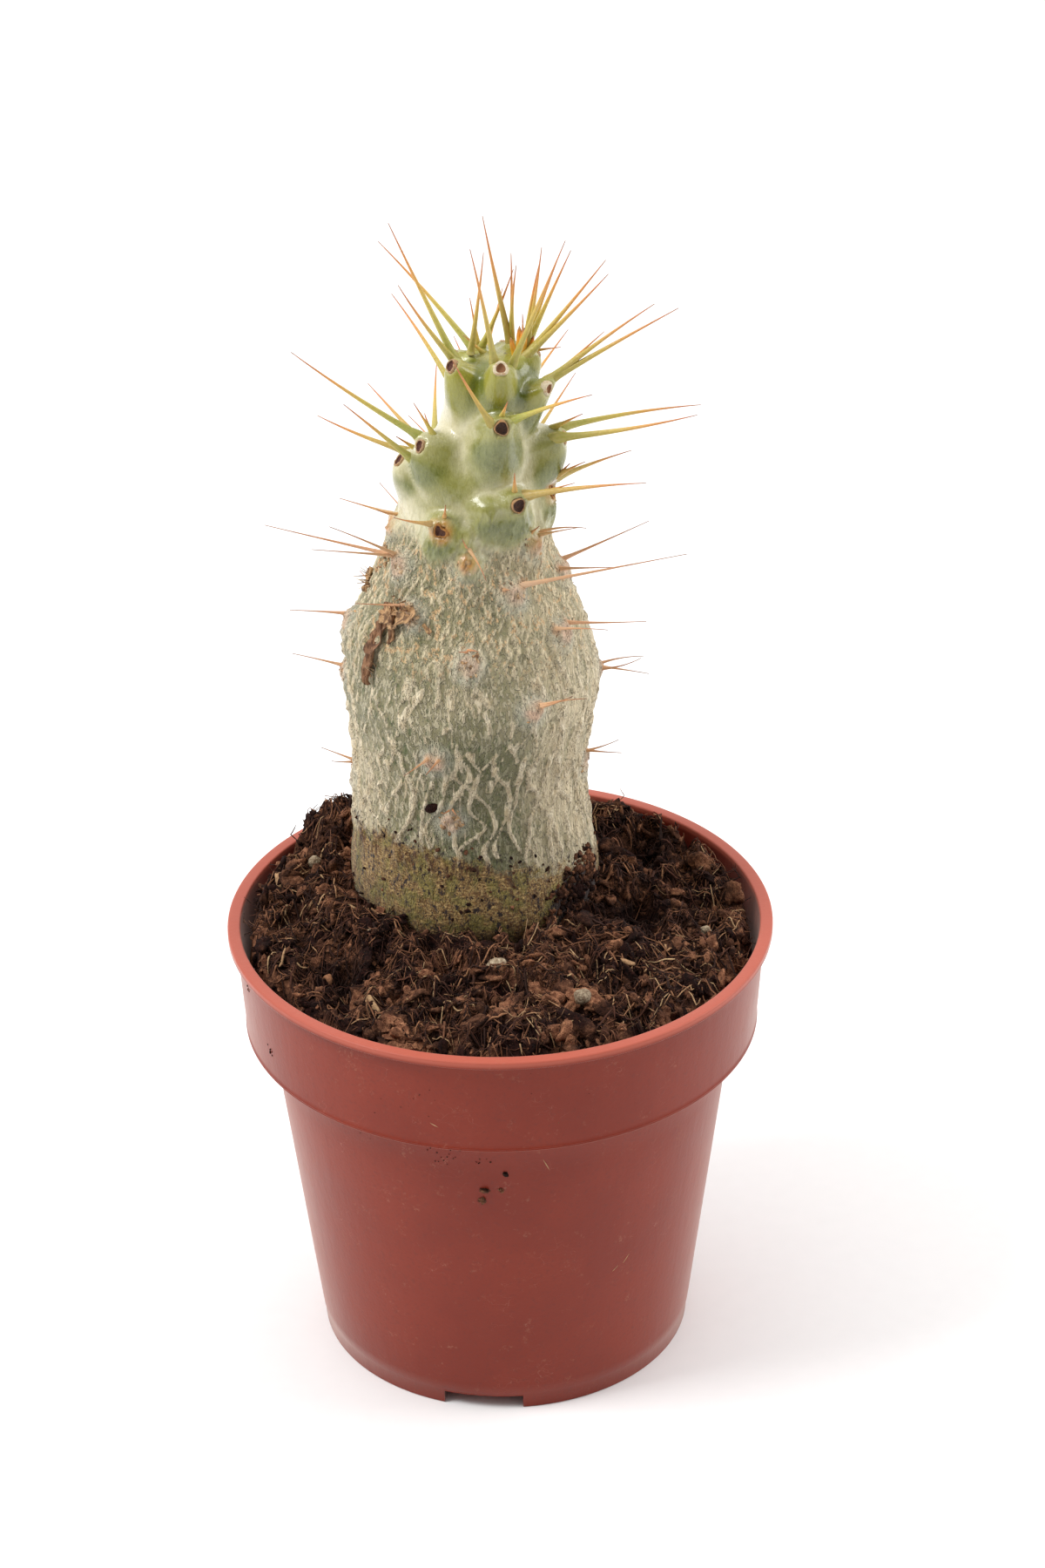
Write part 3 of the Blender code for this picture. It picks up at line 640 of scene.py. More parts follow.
class Paint:
    """A material's nodes. Each method adds nodes and returns what they give.

    A text in place of a value stands for the mark of that name on the mesh's points.
    """

    def __init__(self, name, roughness=0.5, **constants):
        self.material = bpy.data.materials.new(name)
        self.material.use_nodes = True
        self.tree = self.material.node_tree
        self.shader = self.tree.nodes["Principled BSDF"]
        self.set("Roughness", roughness)
        for socket, value in constants.items():
            self.set(socket.replace("_", " "), value)
        self.place = self.add("TexCoord", output="Object")
        level = self.add("SeparateXYZ", output="Z", inputs={0: self.place})
        self.height = self.times(level, 1.0 / MM)

    def add(self, kind, output=0, inputs=None, **settings):
        """A node of a kind with its settings and what goes into its sockets."""
        node = self.tree.nodes.new("ShaderNode" + kind)
        for key, value in settings.items():
            setattr(node, key, value)
        for socket, value in (inputs or {}).items():
            self.feed(node.inputs[socket], value)
        return node.outputs[output]

    def feed(self, socket, value):
        """Gives a socket a constant, what another node gives or a mark."""
        if isinstance(value, str):
            value = self.add("Attribute", output="Fac", attribute_name=value)
        if isinstance(value, bpy.types.NodeSocket):
            self.tree.links.new(value, socket)
        else:
            socket.default_value = value

    def set(self, socket, value):
        """Feeds a socket of the shader."""
        self.feed(self.shader.inputs[socket], value)

    def finish(self, colour, normal):
        """The material with its colour and its relief."""
        self.set("Base Color", colour)
        self.set("Normal", normal)
        return self.material

    def math(self, operation, first, second):
        return self.add("Math", operation=operation, inputs={0: first, 1: second})

    def times(self, first, second):
        return self.math("MULTIPLY", first, second)

    def plus(self, first, second):
        return self.math("ADD", first, second)

    def minus(self, first, second):
        return self.math("SUBTRACT", first, second)

    def mix(self, first, second, share):
        """A mix of two colours, each given by other nodes or as red, green and blue."""
        first, second = (srgb(*colour) if isinstance(colour, tuple) else colour
                         for colour in (first, second))
        return self.add("Mix", output=2, inputs={0: share, 6: first, 7: second},
                        data_type="RGBA")

    def stretched(self, stretch, warp=0.0, warp_size=3.0):
        """The place with its height pressed together, so that patterns come out tall."""
        place = self.place
        if warp:
            push = self.add("TexNoise", output="Color", inputs={
                "Vector": place, "Scale": 1.0 / (warp_size * MM), "Detail": 2.0})
            push = self.add("VectorMath", operation="SUBTRACT", inputs={0: push, 1: (0.5,) * 3})
            push = self.add("VectorMath", operation="SCALE", inputs={0: push, 3: warp * MM})
            place = self.add("VectorMath", operation="ADD", inputs={0: place, 1: push})
        return self.add("VectorMath", operation="MULTIPLY",
                        inputs={0: place, 1: (1.0, 1.0, 1.0 / stretch)})

    def noise(self, size, detail=3.0, stretch=1.0, contrast=1.0, roughness=0.55):
        """Noise from 0 to 1 around a half, its lumps about a size across."""
        value = self.add("TexNoise", inputs={
            "Vector": self.stretched(stretch), "Scale": 1.0 / (size * MM), "Detail": detail,
            "Roughness": roughness})
        if contrast == 1.0:
            return value
        return self.range(value, 0.5 - 0.5 / contrast, 0.5 + 0.5 / contrast)

    def ruffled(self, value, reach, size, **settings):
        """A value with noise added to it, which goes up and down by half of a reach."""
        sway = self.minus(self.noise(size, **settings), 0.5)
        return self.plus(value, self.times(sway, reach))

    def cracks(self, size, stretch=1.0, width=0.1, warp=0.0):
        """1 on the borders between cells of a size, 0 inside the cells."""
        value = self.add("TexVoronoi", feature="DISTANCE_TO_EDGE", inputs={
            "Vector": self.stretched(stretch, warp), "Scale": 1.0 / (size * MM)})
        return self.range(value, width, 0.0)

    def range(self, value, start, end, low=0.0, high=1.0):
        """A value's stretch from start to end turned smoothly into low to high."""
        return self.add("MapRange", inputs={0: value, 1: start, 2: end, 3: low, 4: high},
                        interpolation_type="SMOOTHSTEP")

    def colours(self, value, *stops):
        """A value from 0 to 1 as a colour, through stops of a place and a colour."""
        node = self.tree.nodes.new("ShaderNodeValToRGB")
        ramp = node.color_ramp
        while len(ramp.elements) < len(stops):
            ramp.elements.new(0.5)
        for element, (place, colour) in zip(ramp.elements, stops):
            element.position = place
            element.color = srgb(*colour)
        self.feed(node.inputs[0], value)
        return node.outputs[0]

    def bump(self, height, depth, normal=None):
        """Relief of a depth in millimetres, on top of an earlier relief."""
        inputs = {"Height": height, "Distance": depth * MM, "Strength": 1.0}
        if normal is not None:
            inputs["Normal"] = normal
        return self.add("Bump", inputs=inputs)


def trunk_colour(paint, mottle, patches, crackle):
    """Grey-green cells between cream strands, and wrinkles higher up. Painted shade darkens the
    front low down and the wrinkles' furrows; the cream sides carry painted side light too.
    """
    cell = paint.mix((120, 116, 80), (150, 141, 109), patches)
    cell = paint.mix(cell, (88, 96, 56), paint.range(mottle, 0.4, 0.0))
    cell = paint.mix(cell, (208, 197, 168), paint.times(crackle, 0.5))
    # Cream on the sides: partly paler bark, partly painted side light
    cell = paint.mix(cell, (226, 208, 172), paint.times(0.9, "cream"))
    # Painted shade: darker green on the front of the trunk low down
    cell = paint.mix(cell, (92, 98, 62), paint.times(0.6, "front_shade"))
    cream = paint.mix((202, 182, 144), (236, 222, 192), mottle)
    ragged = paint.ruffled("ridge", 0.9, 0.9, stretch=1.8, roughness=0.7)
    trunk = paint.mix(cell, cream, paint.range(ragged, 0.3, 0.6, 0.0, 0.9))
    # Painted shade in the furrows: darker between the pale crests of the wrinkles
    furrowed = paint.mix(trunk, (118, 114, 72), 0.4)
    furrowed = paint.mix(furrowed, (240, 222, 184), "wrinkle")
    flecks = paint.range(paint.noise(1.3, stretch=1.5, roughness=0.7), 0.56, 0.62)
    furrowed = paint.mix(furrowed, (222, 182, 132), paint.times(flecks, 0.75))
    border = paint.plus(paint.height, paint.times(patches, 6.0))
    trunk = paint.mix(trunk, furrowed, paint.range(border, 144.0, 158.0))
    trunk = paint.mix(trunk, (194, 192, 174), paint.times("halo", 0.6))
    return paint.mix(trunk, (214, 180, 152), paint.times(0.95, "pad"))


def skin_colour(paint, patches):
    """The waxy skin of the young top: olive faces, pale hollows and a green tip. Painted shade
    darkens the tubercles' lower faces and, at the top, the hollows and creases; painted light
    makes the stem's sides paler.
    """
    streaks = paint.noise(0.7, detail=4.0, stretch=2.0, contrast=2.0)
    # Painted shade on the lower faces of the tubercles, mixed with random patches
    shade = paint.math("MAXIMUM", "underside_shade", paint.times(patches, 0.5))
    face = paint.mix((146, 142, 72), (92, 98, 20), shade)
    face = paint.mix(face, (172, 174, 116), paint.times(streaks, 0.3))
    # Pale wax in the hollows, and painted side light at the stem's left and right
    wax_and_side_light = paint.plus(paint.times("hollow", 0.85), paint.times("rim_side", 0.95))
    wax_and_side_light = paint.minus(wax_and_side_light, paint.times("underside_shade", 0.5))
    wax_and_side_light = paint.ruffled(wax_and_side_light, 1.5, 4.5)
    wax_and_side_light = paint.plus(wax_and_side_light, paint.range(paint.height, 182.0, 172.0, 0.0, 0.35))
    skin = paint.mix(face, (222, 214, 180), paint.range(wax_and_side_light, 0.05, 1.3, 0.0, 0.86))
    top = paint.range(paint.height, 191.0, 201.0)
    skin = paint.mix(skin, (150, 146, 34), paint.times(top, 0.8))
    # Painted shade: the hollows of the top are darker green
    sunk = paint.range("hollow", 0.1, 0.6)
    skin = paint.mix(skin, (104, 110, 12), paint.times(top, sunk))
    # Painted shade in the creases where tubercles meet near the top
    crown = paint.range(paint.height, 192.0, 199.0)
    skin = paint.mix(skin, (72, 84, 12), paint.times("groove", crown))
    skin = paint.mix(skin, (206, 196, 150), paint.times("halo", 0.35))
    return paint.mix(skin, (184, 124, 50), paint.times(0.9, "pad"))


def stained_colour(paint, colour):
    """A colour under the brown band, the specks and the smear that old soil has left."""
    edge = paint.ruffled("stain", 13.0, 3.2, detail=5.0, roughness=0.8)
    washed = paint.noise(0.8, detail=4.0, stretch=0.4, contrast=1.8, roughness=0.65)
    runs = paint.noise(1.6, detail=4.0, stretch=2.2, contrast=2.0, roughness=0.75)
    band = paint.mix((110, 76, 32), (200, 168, 108), paint.range(washed, 0.2, 1.0))
    green = paint.range(paint.noise(4.0), 0.46, 0.6, 0.0, 0.55)
    band = paint.mix(band, (112, 112, 42), green)
    deeper = paint.range(edge, 9.0, 1.0, 0.45, 0.95)
    band = paint.mix(band, (84, 50, 22), paint.times(paint.range(runs, 0.55, 0.8), deeper))
    colour = paint.mix(colour, band, paint.range(edge, -1.8, 1.4))
    specks = paint.range(paint.noise(1.3, stretch=1.6, roughness=0.8), 0.57, 0.62)
    specks = paint.times(specks, paint.range(edge, -8.0, 0.0))
    colour = paint.mix(colour, (44, 26, 18), specks)
    smear = paint.plus("smear", paint.noise(1.6, roughness=0.8))
    return paint.mix(colour, (46, 26, 18), paint.range(smear, 0.92, 1.05))


def bark_material():
    """Grey-green bark with cream strands, waxy at the crown and stained near the soil."""
    paint = Paint("living_bark", Sheen_Weight=0.2, Sheen_Roughness=0.45, Coat_Roughness=0.13)
    mottle = paint.noise(1.2, stretch=1.6, contrast=2.4, roughness=0.65)
    patches = paint.noise(7.0, contrast=2.0)
    grain = paint.noise(0.35, detail=2.0, stretch=2.5, contrast=2.0)
    crackle = paint.range(paint.noise(0.6, stretch=2.6, roughness=0.6), 0.47, 0.56)
    trunk = trunk_colour(paint, mottle, patches, crackle)
    colour = paint.mix(trunk, skin_colour(paint, patches), "smooth")
    young = paint.range(paint.height, 166.0, 186.0)
    spine_root = paint.mix((206, 168, 132), (184, 184, 108), young)
    colour = paint.mix(colour, spine_root, paint.range("root", 0.2, 0.9))

    paint.set("Coat Weight", paint.times("smooth", 0.6))
    shine = paint.range(mottle, 0.0, 1.0, 0.18, 0.34)
    paint.set("Roughness", paint.add("Mix", inputs={0: "smooth", 2: 0.68, 3: shine}))
    relief = paint.bump(paint.times(crackle, paint.minus(1.0, "smooth")), 0.25)
    grain = paint.times(grain, paint.range("smooth", 0.0, 1.0, 1.0, 0.3))
    return paint.finish(stained_colour(paint, colour), paint.bump(grain, 0.15, relief))


def spine_material():
    """Olive at a young spine's root, pinkish tan at an old one's, orange brown at the tip."""
    paint = Paint("spine")
    young = paint.colours("along", (0.0, (158, 166, 88)), (0.2, (166, 172, 78)),
                          (0.48, (204, 184, 84)), (0.68, (224, 158, 80)),
                          (0.9, (192, 108, 62)), (1.0, (130, 72, 48)))
    old = paint.colours("along", (0.0, (224, 198, 168)), (0.2, (220, 180, 144)),
                        (0.55, (204, 150, 110)), (0.85, (158, 104, 76)), (1.0, (98, 62, 50)))
    colour = paint.mix(old, young, "youth")
    colour = paint.mix(colour, (184, 96, 44), paint.times("tone", 0.35))
    streaks = paint.noise(0.6, detail=2.0, contrast=2.0)
    colour = paint.mix(colour, (222, 188, 132), paint.times(streaks, 0.22))
    paint.set("Roughness", paint.range(streaks, 0.0, 1.0, 0.34, 0.5))
    return paint.finish(colour, paint.bump(streaks, 0.05))


def scar_material():
    """Corky rims round discs from tan to nearly black."""
    paint = Paint("leaf_scar", roughness=0.7)
    grain = paint.noise(0.4, contrast=2.0)
    disc = paint.colours("dark", (0.0, (196, 150, 104)), (0.4, (146, 98, 62)),
                         (0.75, (88, 46, 36)), (1.0, (44, 24, 16)))
    disc = paint.mix(disc, (120, 78, 44), paint.times(grain, 0.35))
    rim = paint.mix((158, 106, 46), (220, 206, 176), "pale")
    rim = paint.mix(rim, (186, 128, 66), paint.range(paint.noise(0.8), 0.56, 0.66, 0.0, 0.6))
    colour = paint.mix(disc, rim, paint.range("rim", 0.35, 0.65))
    return paint.finish(colour, paint.bump(grain, 0.12))


def bud_material():
    """Young leaves: yellow green below, orange above, nearly black at the point."""
    paint = Paint("bud", roughness=0.4)
    streak = paint.noise(0.5, detail=2.0, stretch=3.0, contrast=2.0)
    colour = paint.colours("along", (0.0, (176, 178, 70)), (0.45, (226, 170, 34)),
                           (0.82, (222, 134, 22)), (0.95, (138, 70, 24)), (1.0, (52, 26, 16)))
    colour = paint.mix(colour, (236, 196, 110), paint.times(streak, 0.3))
    return paint.finish(colour, paint.bump(streak, 0.1))


def dry_material():
    """Dead, papery leaf and bark, from dark brown to nearly white."""
    paint = Paint("dry_leaf", roughness=0.8)
    fibre = paint.noise(0.8, detail=4.0, stretch=3.0, contrast=2.4)
    colour = paint.colours("tone", (0.0, (84, 52, 36)), (0.45, (146, 104, 76)),
                           (0.8, (204, 164, 118)), (1.0, (222, 208, 180)))
    colour = paint.mix(colour, (70, 42, 30), paint.range(fibre, 0.35, 0.9, 0.0, 0.75))
    return paint.finish(colour, paint.bump(fibre, 0.25))


def soil_material():
    """Peat: nearly black where its tone is low, warm brown where it is high; painted shade lowers
    the tone in the soil's pits.
    """
    paint = Paint("peat", roughness=0.95, Specular_IOR_Level=0.2)
    broad = paint.noise(8.0, contrast=2.0)
    fine = paint.noise(0.9, detail=4.0, contrast=2.0, roughness=0.7)
    dark = paint.mix((9, 4, 3), (54, 24, 17), fine)
    dry = paint.mix((100, 56, 40), (196, 138, 102), fine)
    colour = paint.mix(dark, dry, paint.range(paint.plus("tone", broad), 0.55, 1.55))
    grains = paint.range(paint.noise(0.5, detail=2.0), 0.66, 0.72, 0.0, 0.7)
    colour = paint.mix(colour, (140, 104, 74), grains)
    relief = paint.bump(fine, 0.5)
    return paint.finish(colour, paint.bump(paint.noise(0.3, detail=2.0), 0.15, relief))


def fibre_material():
    """Root and bark fibres, from dark brown to straw."""
    paint = Paint("fibre", roughness=0.85, Specular_IOR_Level=0.25)
    streak = paint.noise(0.5, detail=2.0, contrast=2.0)
    colour = paint.colours("tone", (0.0, (34, 15, 10)), (0.4, (92, 54, 38)),
                           (0.8, (156, 108, 76)), (1.0, (208, 174, 130)))
    colour = paint.mix(colour, (60, 38, 28), paint.times(streak, 0.4))
    return paint.finish(colour, paint.bump(streak, 0.08))


def stone_material():
    """Pebbles and grains of grit, pale with darker flecks."""
    paint = Paint("grit", roughness=0.75)
    fleck = paint.noise(0.6, contrast=2.5)
    colour = paint.mix((196, 178, 148), (128, 104, 78), fleck)
    colour = paint.mix((88, 66, 50), colour, "tone")
    return paint.finish(colour, paint.bump(fleck, 0.2))


def pot_material():
    """Satin moulded plastic with faint clouds, dust and fine scratches, and painted light on the
    top of the rim.
    """
    paint = Paint("terracotta_plastic", Specular_IOR_Level=0.22, Sheen_Weight=0.55,
                  Sheen_Roughness=0.32, Sheen_Tint=(1.0, 0.8, 0.72, 1.0))
    clouds = paint.noise(22.0, contrast=1.6)
    speckle = paint.noise(0.7, detail=2.0)
    colour = paint.mix((122, 39, 22), (134, 47, 28), clouds)
    colour = paint.mix(colour, (112, 42, 30), paint.range(speckle, 0.5, 0.75, 0.0, 0.5))
    # Painted light: the top of the rim is paler
    rim_top_light = paint.range(paint.height, POT_HEIGHT - RIM_THICKNESS, POT_HEIGHT - 0.5)
    colour = paint.mix(colour, (188, 98, 80), paint.times(rim_top_light, 0.8))
    dust = paint.times(paint.range(paint.noise(5.0, roughness=0.8), 0.56, 0.74),
                       paint.range(paint.noise(0.8, roughness=0.8), 0.5, 0.62))
    colour = paint.mix(colour, (176, 128, 106), paint.times(dust, 0.35))
    scratches = paint.times(paint.cracks(7.0, stretch=0.35, width=0.006, warp=5.0),
                            paint.range(paint.noise(12.0), 0.52, 0.66))
    colour = paint.mix(colour, (190, 130, 112), paint.times(scratches, 0.35))
    gloss = paint.range(clouds, 0.0, 1.0, 0.34, 0.42)
    paint.set("Roughness", paint.plus(gloss, paint.times(dust, 0.3)))
    relief = paint.bump(paint.noise(3.0, stretch=3.0), 0.06)
    return paint.finish(colour, paint.bump(speckle, 0.02, relief))


def floor_material():
    """White studio paper with the faintest grain."""
    paint = Paint("studio_floor", roughness=0.75)
    paint.set("Base Color", paint.mix((250, 250, 250), (246, 246, 246), paint.noise(4.0)))
    return paint.material


# Pot


def wall_radius(height):
    """Outer radius of the pot's lower wall."""
    return FOOT_RADIUS + (WALL_TOP_RADIUS - FOOT_RADIUS) * height / COLLAR_BOTTOM


def collar_radius(height):
    """Outer radius of the collar, carried on to the top of the pot."""
    share = (height - COLLAR_BOTTOM) / (POT_HEIGHT - RIM_THICKNESS - COLLAR_BOTTOM)
    return COLLAR_BOTTOM_RADIUS + (COLLAR_TOP_RADIUS - COLLAR_BOTTOM_RADIUS) * share


def inner_radius(height):
    """Inner radius of the pot, on either side of its ledge."""
    if height < COLLAR_BOTTOM + POT_WALL:
        return wall_radius(height) - POT_WALL
    return collar_radius(height) - POT_WALL


def outer_radius(height):
    """Outer radius of the pot, on either side of its step."""
    return collar_radius(height) if height > COLLAR_BOTTOM else wall_radius(height)


def arc(radius, height, size, start, end, steps=6):
    """Points of a rounding of a size about a centre, between two angles in degrees."""
    for step in range(steps + 1):
        angle = math.radians(start + (end - start) * step / steps)
        yield (radius + size * math.cos(angle), height + size * math.sin(angle))


def pot_profile():
    """From beside the middle of the floor, up the inside, over the rim and down."""
    ledge = COLLAR_BOTTOM + POT_WALL
    corner = inner_radius(FLOOR_TOP) - 1.0
    rim_inside = RIM_RADIUS - RIM_WIDTH
    rim_bottom = POT_HEIGHT - RIM_THICKNESS
    rim_middle = POT_HEIGHT - RIM_ROUNDING
    bead_height = COLLAR_BOTTOM + COLLAR_BEAD
    profile = [(1.0, FLOOR_TOP), (corner, FLOOR_TOP)]
    profile += arc(corner + 0.1, FLOOR_TOP + 1.0, 1.0, -90, 0, 4)
    profile += [(inner_radius(ledge - 1.0), ledge - 1.0),
                (wall_radius(ledge) - POT_WALL + 0.3, ledge),
                (inner_radius(ledge) - 0.4, ledge), (inner_radius(ledge) - 0.1, ledge + 0.3)]
    profile += [(inner_radius(height), height) for height in (75.0, 80.0, 85.0)]
    profile += [(rim_inside, rim_bottom)]
    profile += arc(rim_inside + RIM_ROUNDING, rim_middle, RIM_ROUNDING, 180, 90)
    profile += arc(RIM_RADIUS - RIM_ROUNDING, rim_middle, RIM_ROUNDING, 90, 0)
    profile += [(RIM_RADIUS, rim_bottom + 0.25)]
    profile += arc(RIM_RADIUS - 0.2, rim_bottom + 0.2, 0.2, 0, -90, 3)
    profile += arc(COLLAR_TOP_RADIUS + 0.35, rim_bottom - 0.35, 0.35, 90, 180, 3)
    profile += [(collar_radius(height), height) for height in (86.0, 80.0, 75.0, 70.6)]
    profile += [(collar_radius(70.0) + 0.02, 70.0),
                (COLLAR_BOTTOM_RADIUS + COLLAR_BEAD, 69.7)]
    profile += arc(COLLAR_BOTTOM_RADIUS, bead_height, COLLAR_BEAD, 45, -90, 4)
    profile += [(WALL_TOP_RADIUS + 1.0, COLLAR_BOTTOM),
                (WALL_TOP_RADIUS + 0.3, COLLAR_BOTTOM - 0.1)]
    profile += [(wall_radius(height), height) for height in (68.4, 60.0, 45.0, 30.0, 15.0, 6.0)]
    profile += [(wall_radius(TRIM_LINE), TRIM_LINE + 0.2),
                (wall_radius(TRIM_LINE) - TRIM_STEP, TRIM_LINE)]
    profile += arc(FOOT_RADIUS - 0.3, 0.3, 0.3, 0, -90, 3)
    profile += [(FOOT_RADIUS - POT_WALL + 0.1, 0.0), (FOOT_RADIUS - POT_WALL, 0.15),
                (wall_radius(FOOT_HEIGHT) - POT_WALL, FOOT_HEIGHT), (1.0, FOOT_HEIGHT)]
    return np.array(profile)


def turned(profile, columns):
    """A profile turned about the pot's axis, as rings."""
    around = heading(360.0 * np.arange(columns) / columns)
    level = np.array([0.0, 0.0, 1.0])
    return profile[:, 0, None, None] * around[None] + profile[:, 1, None, None] * level


def box_cutter(compass):
    """A block across the foot ring for one notch."""
    bm = bmesh.new()
    bmesh.ops.create_cube(bm, size=1.0)
    size = Vector((NOTCH_WIDTH, NOTCH_REACH, 2 * FOOT_HEIGHT)) * MM
    bmesh.ops.scale(bm, vec=size, verts=bm.verts)
    turn = Matrix.Rotation(math.radians(compass), 3, "Z")
    bmesh.ops.rotate(bm, matrix=turn, verts=bm.verts)
    bmesh.ops.translate(bm, vec=Vector(heading(compass)) * FOOT_RADIUS * MM, verts=bm.verts)
    return bm


def rod_cutter(place):
    """A rod through the floor for one drain hole."""
    bm = bmesh.new()
    bmesh.ops.create_cone(bm, cap_ends=True, segments=DRAIN_HOLE_SIDES,
                          radius1=DRAIN_HOLE_RADIUS * MM, radius2=DRAIN_HOLE_RADIUS * MM,
                          depth=4 * FLOOR_TOP * MM)
    bmesh.ops.translate(bm, vec=Vector(place) * MM, verts=bm.verts)
    return bm


def cut_away(mesh, cutters):
    """The mesh without what the cutters take out of it."""
    holder = bpy.data.collections.new("cutters")
    bpy.context.scene.collection.children.link(holder)
    for number, bm in enumerate(cutters):
        block = bpy.data.meshes.new("cutter")
        bm.to_mesh(block)
        bm.free()
        holder.objects.link(bpy.data.objects.new(f"cutter_{number}", block))
    target = new_object("uncut", mesh)
    cut = target.modifiers.new("Cut", "BOOLEAN")
    cut.operand_type = "COLLECTION"
    cut.collection = holder
    bpy.context.view_layer.update()
    result = bpy.data.meshes.new_from_object(
        target.evaluated_get(bpy.context.evaluated_depsgraph_get()))
    for leftover in [target, *holder.objects]:
        bpy.data.objects.remove(leftover)
    bpy.data.collections.remove(holder)
    return result


def build_pot():
    """The moulded pot with its notches and drain holes."""
    rings = turned(pot_profile(), POT_COLUMNS)
    points, faces = closed_skin(rings[::-1], (0, 0, FOOT_HEIGHT), (0, 0, FLOOR_TOP))
    cutters = [box_cutter(compass) for compass in NOTCH_COMPASS]
    cutters.append(rod_cutter((0.0, 0.0, 0.0)))
    for i in range(DRAIN_HOLE_COUNT):
        cutters.append(rod_cutter(heading(360.0 * i / DRAIN_HOLE_COUNT) * DRAIN_RING_RADIUS))
    mesh = cut_away(make_mesh("pot_uncut", points, faces), cutters)
    mesh.name = "pot_shell"
    mesh.shade_smooth()
    mesh.set_sharp_from_angle(angle=math.radians(POT_SHARP_ANGLE))
    add_piece("pot_shell", mesh, pot_material(), replaces="pot")


# Stem


def catmull_rom(before, start, end, after, share):
    """A point on the smooth curve between start and end."""
    return (start * 2.0 + (end - before) * share
            + (before * 2.0 - start * 5.0 + end * 4.0 - after) * share ** 2
            + (start * 3.0 - before - end * 3.0 + after) * share ** 3) * 0.5


def stem_curve():
    """Close stations up the stem: height, radius and lean."""
    points = np.array(STEM_STATIONS, float)
    padded = [points[0], *points, points[-1]]
    curve = []
    for window in zip(padded, padded[1:], padded[2:], padded[3:]):
        for step in range(STATION_STEPS):
            curve.append(catmull_rom(*window, step / STATION_STEPS))
    curve.append(points[-1])
    return np.array(curve)


class Tubercle:
    """A leaf base that stands out of the stem, with a scar and a few spines."""

    def __init__(self, stem, height, compass, vigour, style, spines):
        size, width, tilt = (np.interp(height, *column) for column in growth_columns()[:3])
        size *= vigour
        self.height = height
        self.compass = compass
        self.style = style
        self.spines = spines
        self.width = width * math.sqrt(vigour)
        self.lift = toward(compass, tilt) * size
        self.level = height - self.lift[2]
        self.foot = stem.bare(compass, self.level)

    def strength(self, points):
        """How much of the tubercle's height points of the bare stem take up."""
        away = points - self.foot
        rise = np.where(away[..., 2] > 0, TUBERCLE_RISE_SHARE, TUBERCLE_DROP_SHARE)
        upright = away[..., 2] / (self.width * rise)
        spread = TUBERCLE_SPREAD * fade(-away[..., 2], 0.0, TUBERCLE_SPREAD_DROP)
        across = np.hypot(away[..., 0], away[..., 1]) / (self.width * (1.0 + spread))
        return np.exp(-(upright ** 2 + across ** 2) ** TUBERCLE_STEEPNESS)


def growth_columns():
    """Each column of the growth table with its heights, for reading between the rows."""
    table = np.array(GROWTH, float)
    return [(table[:, 0], table[:, column]) for column in range(1, table.shape[1])]


def far_side_spines(height, compass, draw):
    """A pair of spines and, on the younger part of the stem, a short one between them."""
    length, rise = (np.interp(height, *column) for column in growth_columns()[3:])
    spines = []
    for side in (-1, 1):
        turn = side * SPINE_SPREAD + draw.uniform(-HEADING_DRAW, HEADING_DRAW)
        aim = (compass + turn) % 360.0
        aim = min(max(aim, FAR_SIDE_SPINE_COMPASS), 360.0 - FAR_SIDE_SPINE_COMPASS)
        slope = rise + draw.uniform(*RISE_DRAW)
        spines.append((aim, slope, length * draw.uniform(*LENGTH_DRAW)))
    if height > MIDDLE_SPINE_HEIGHT:
        spines.append((compass, rise + MIDDLE_SPINE_RISE, length * MIDDLE_SPINE_SHARE))
    return spines


def far_side_style(height):
    """The style of a far side scar: the older it is, the plainer."""
    if height > PLUM_HEIGHT:
        return "plum"
    return "brown" if height > BROWN_HEIGHT else "worn"


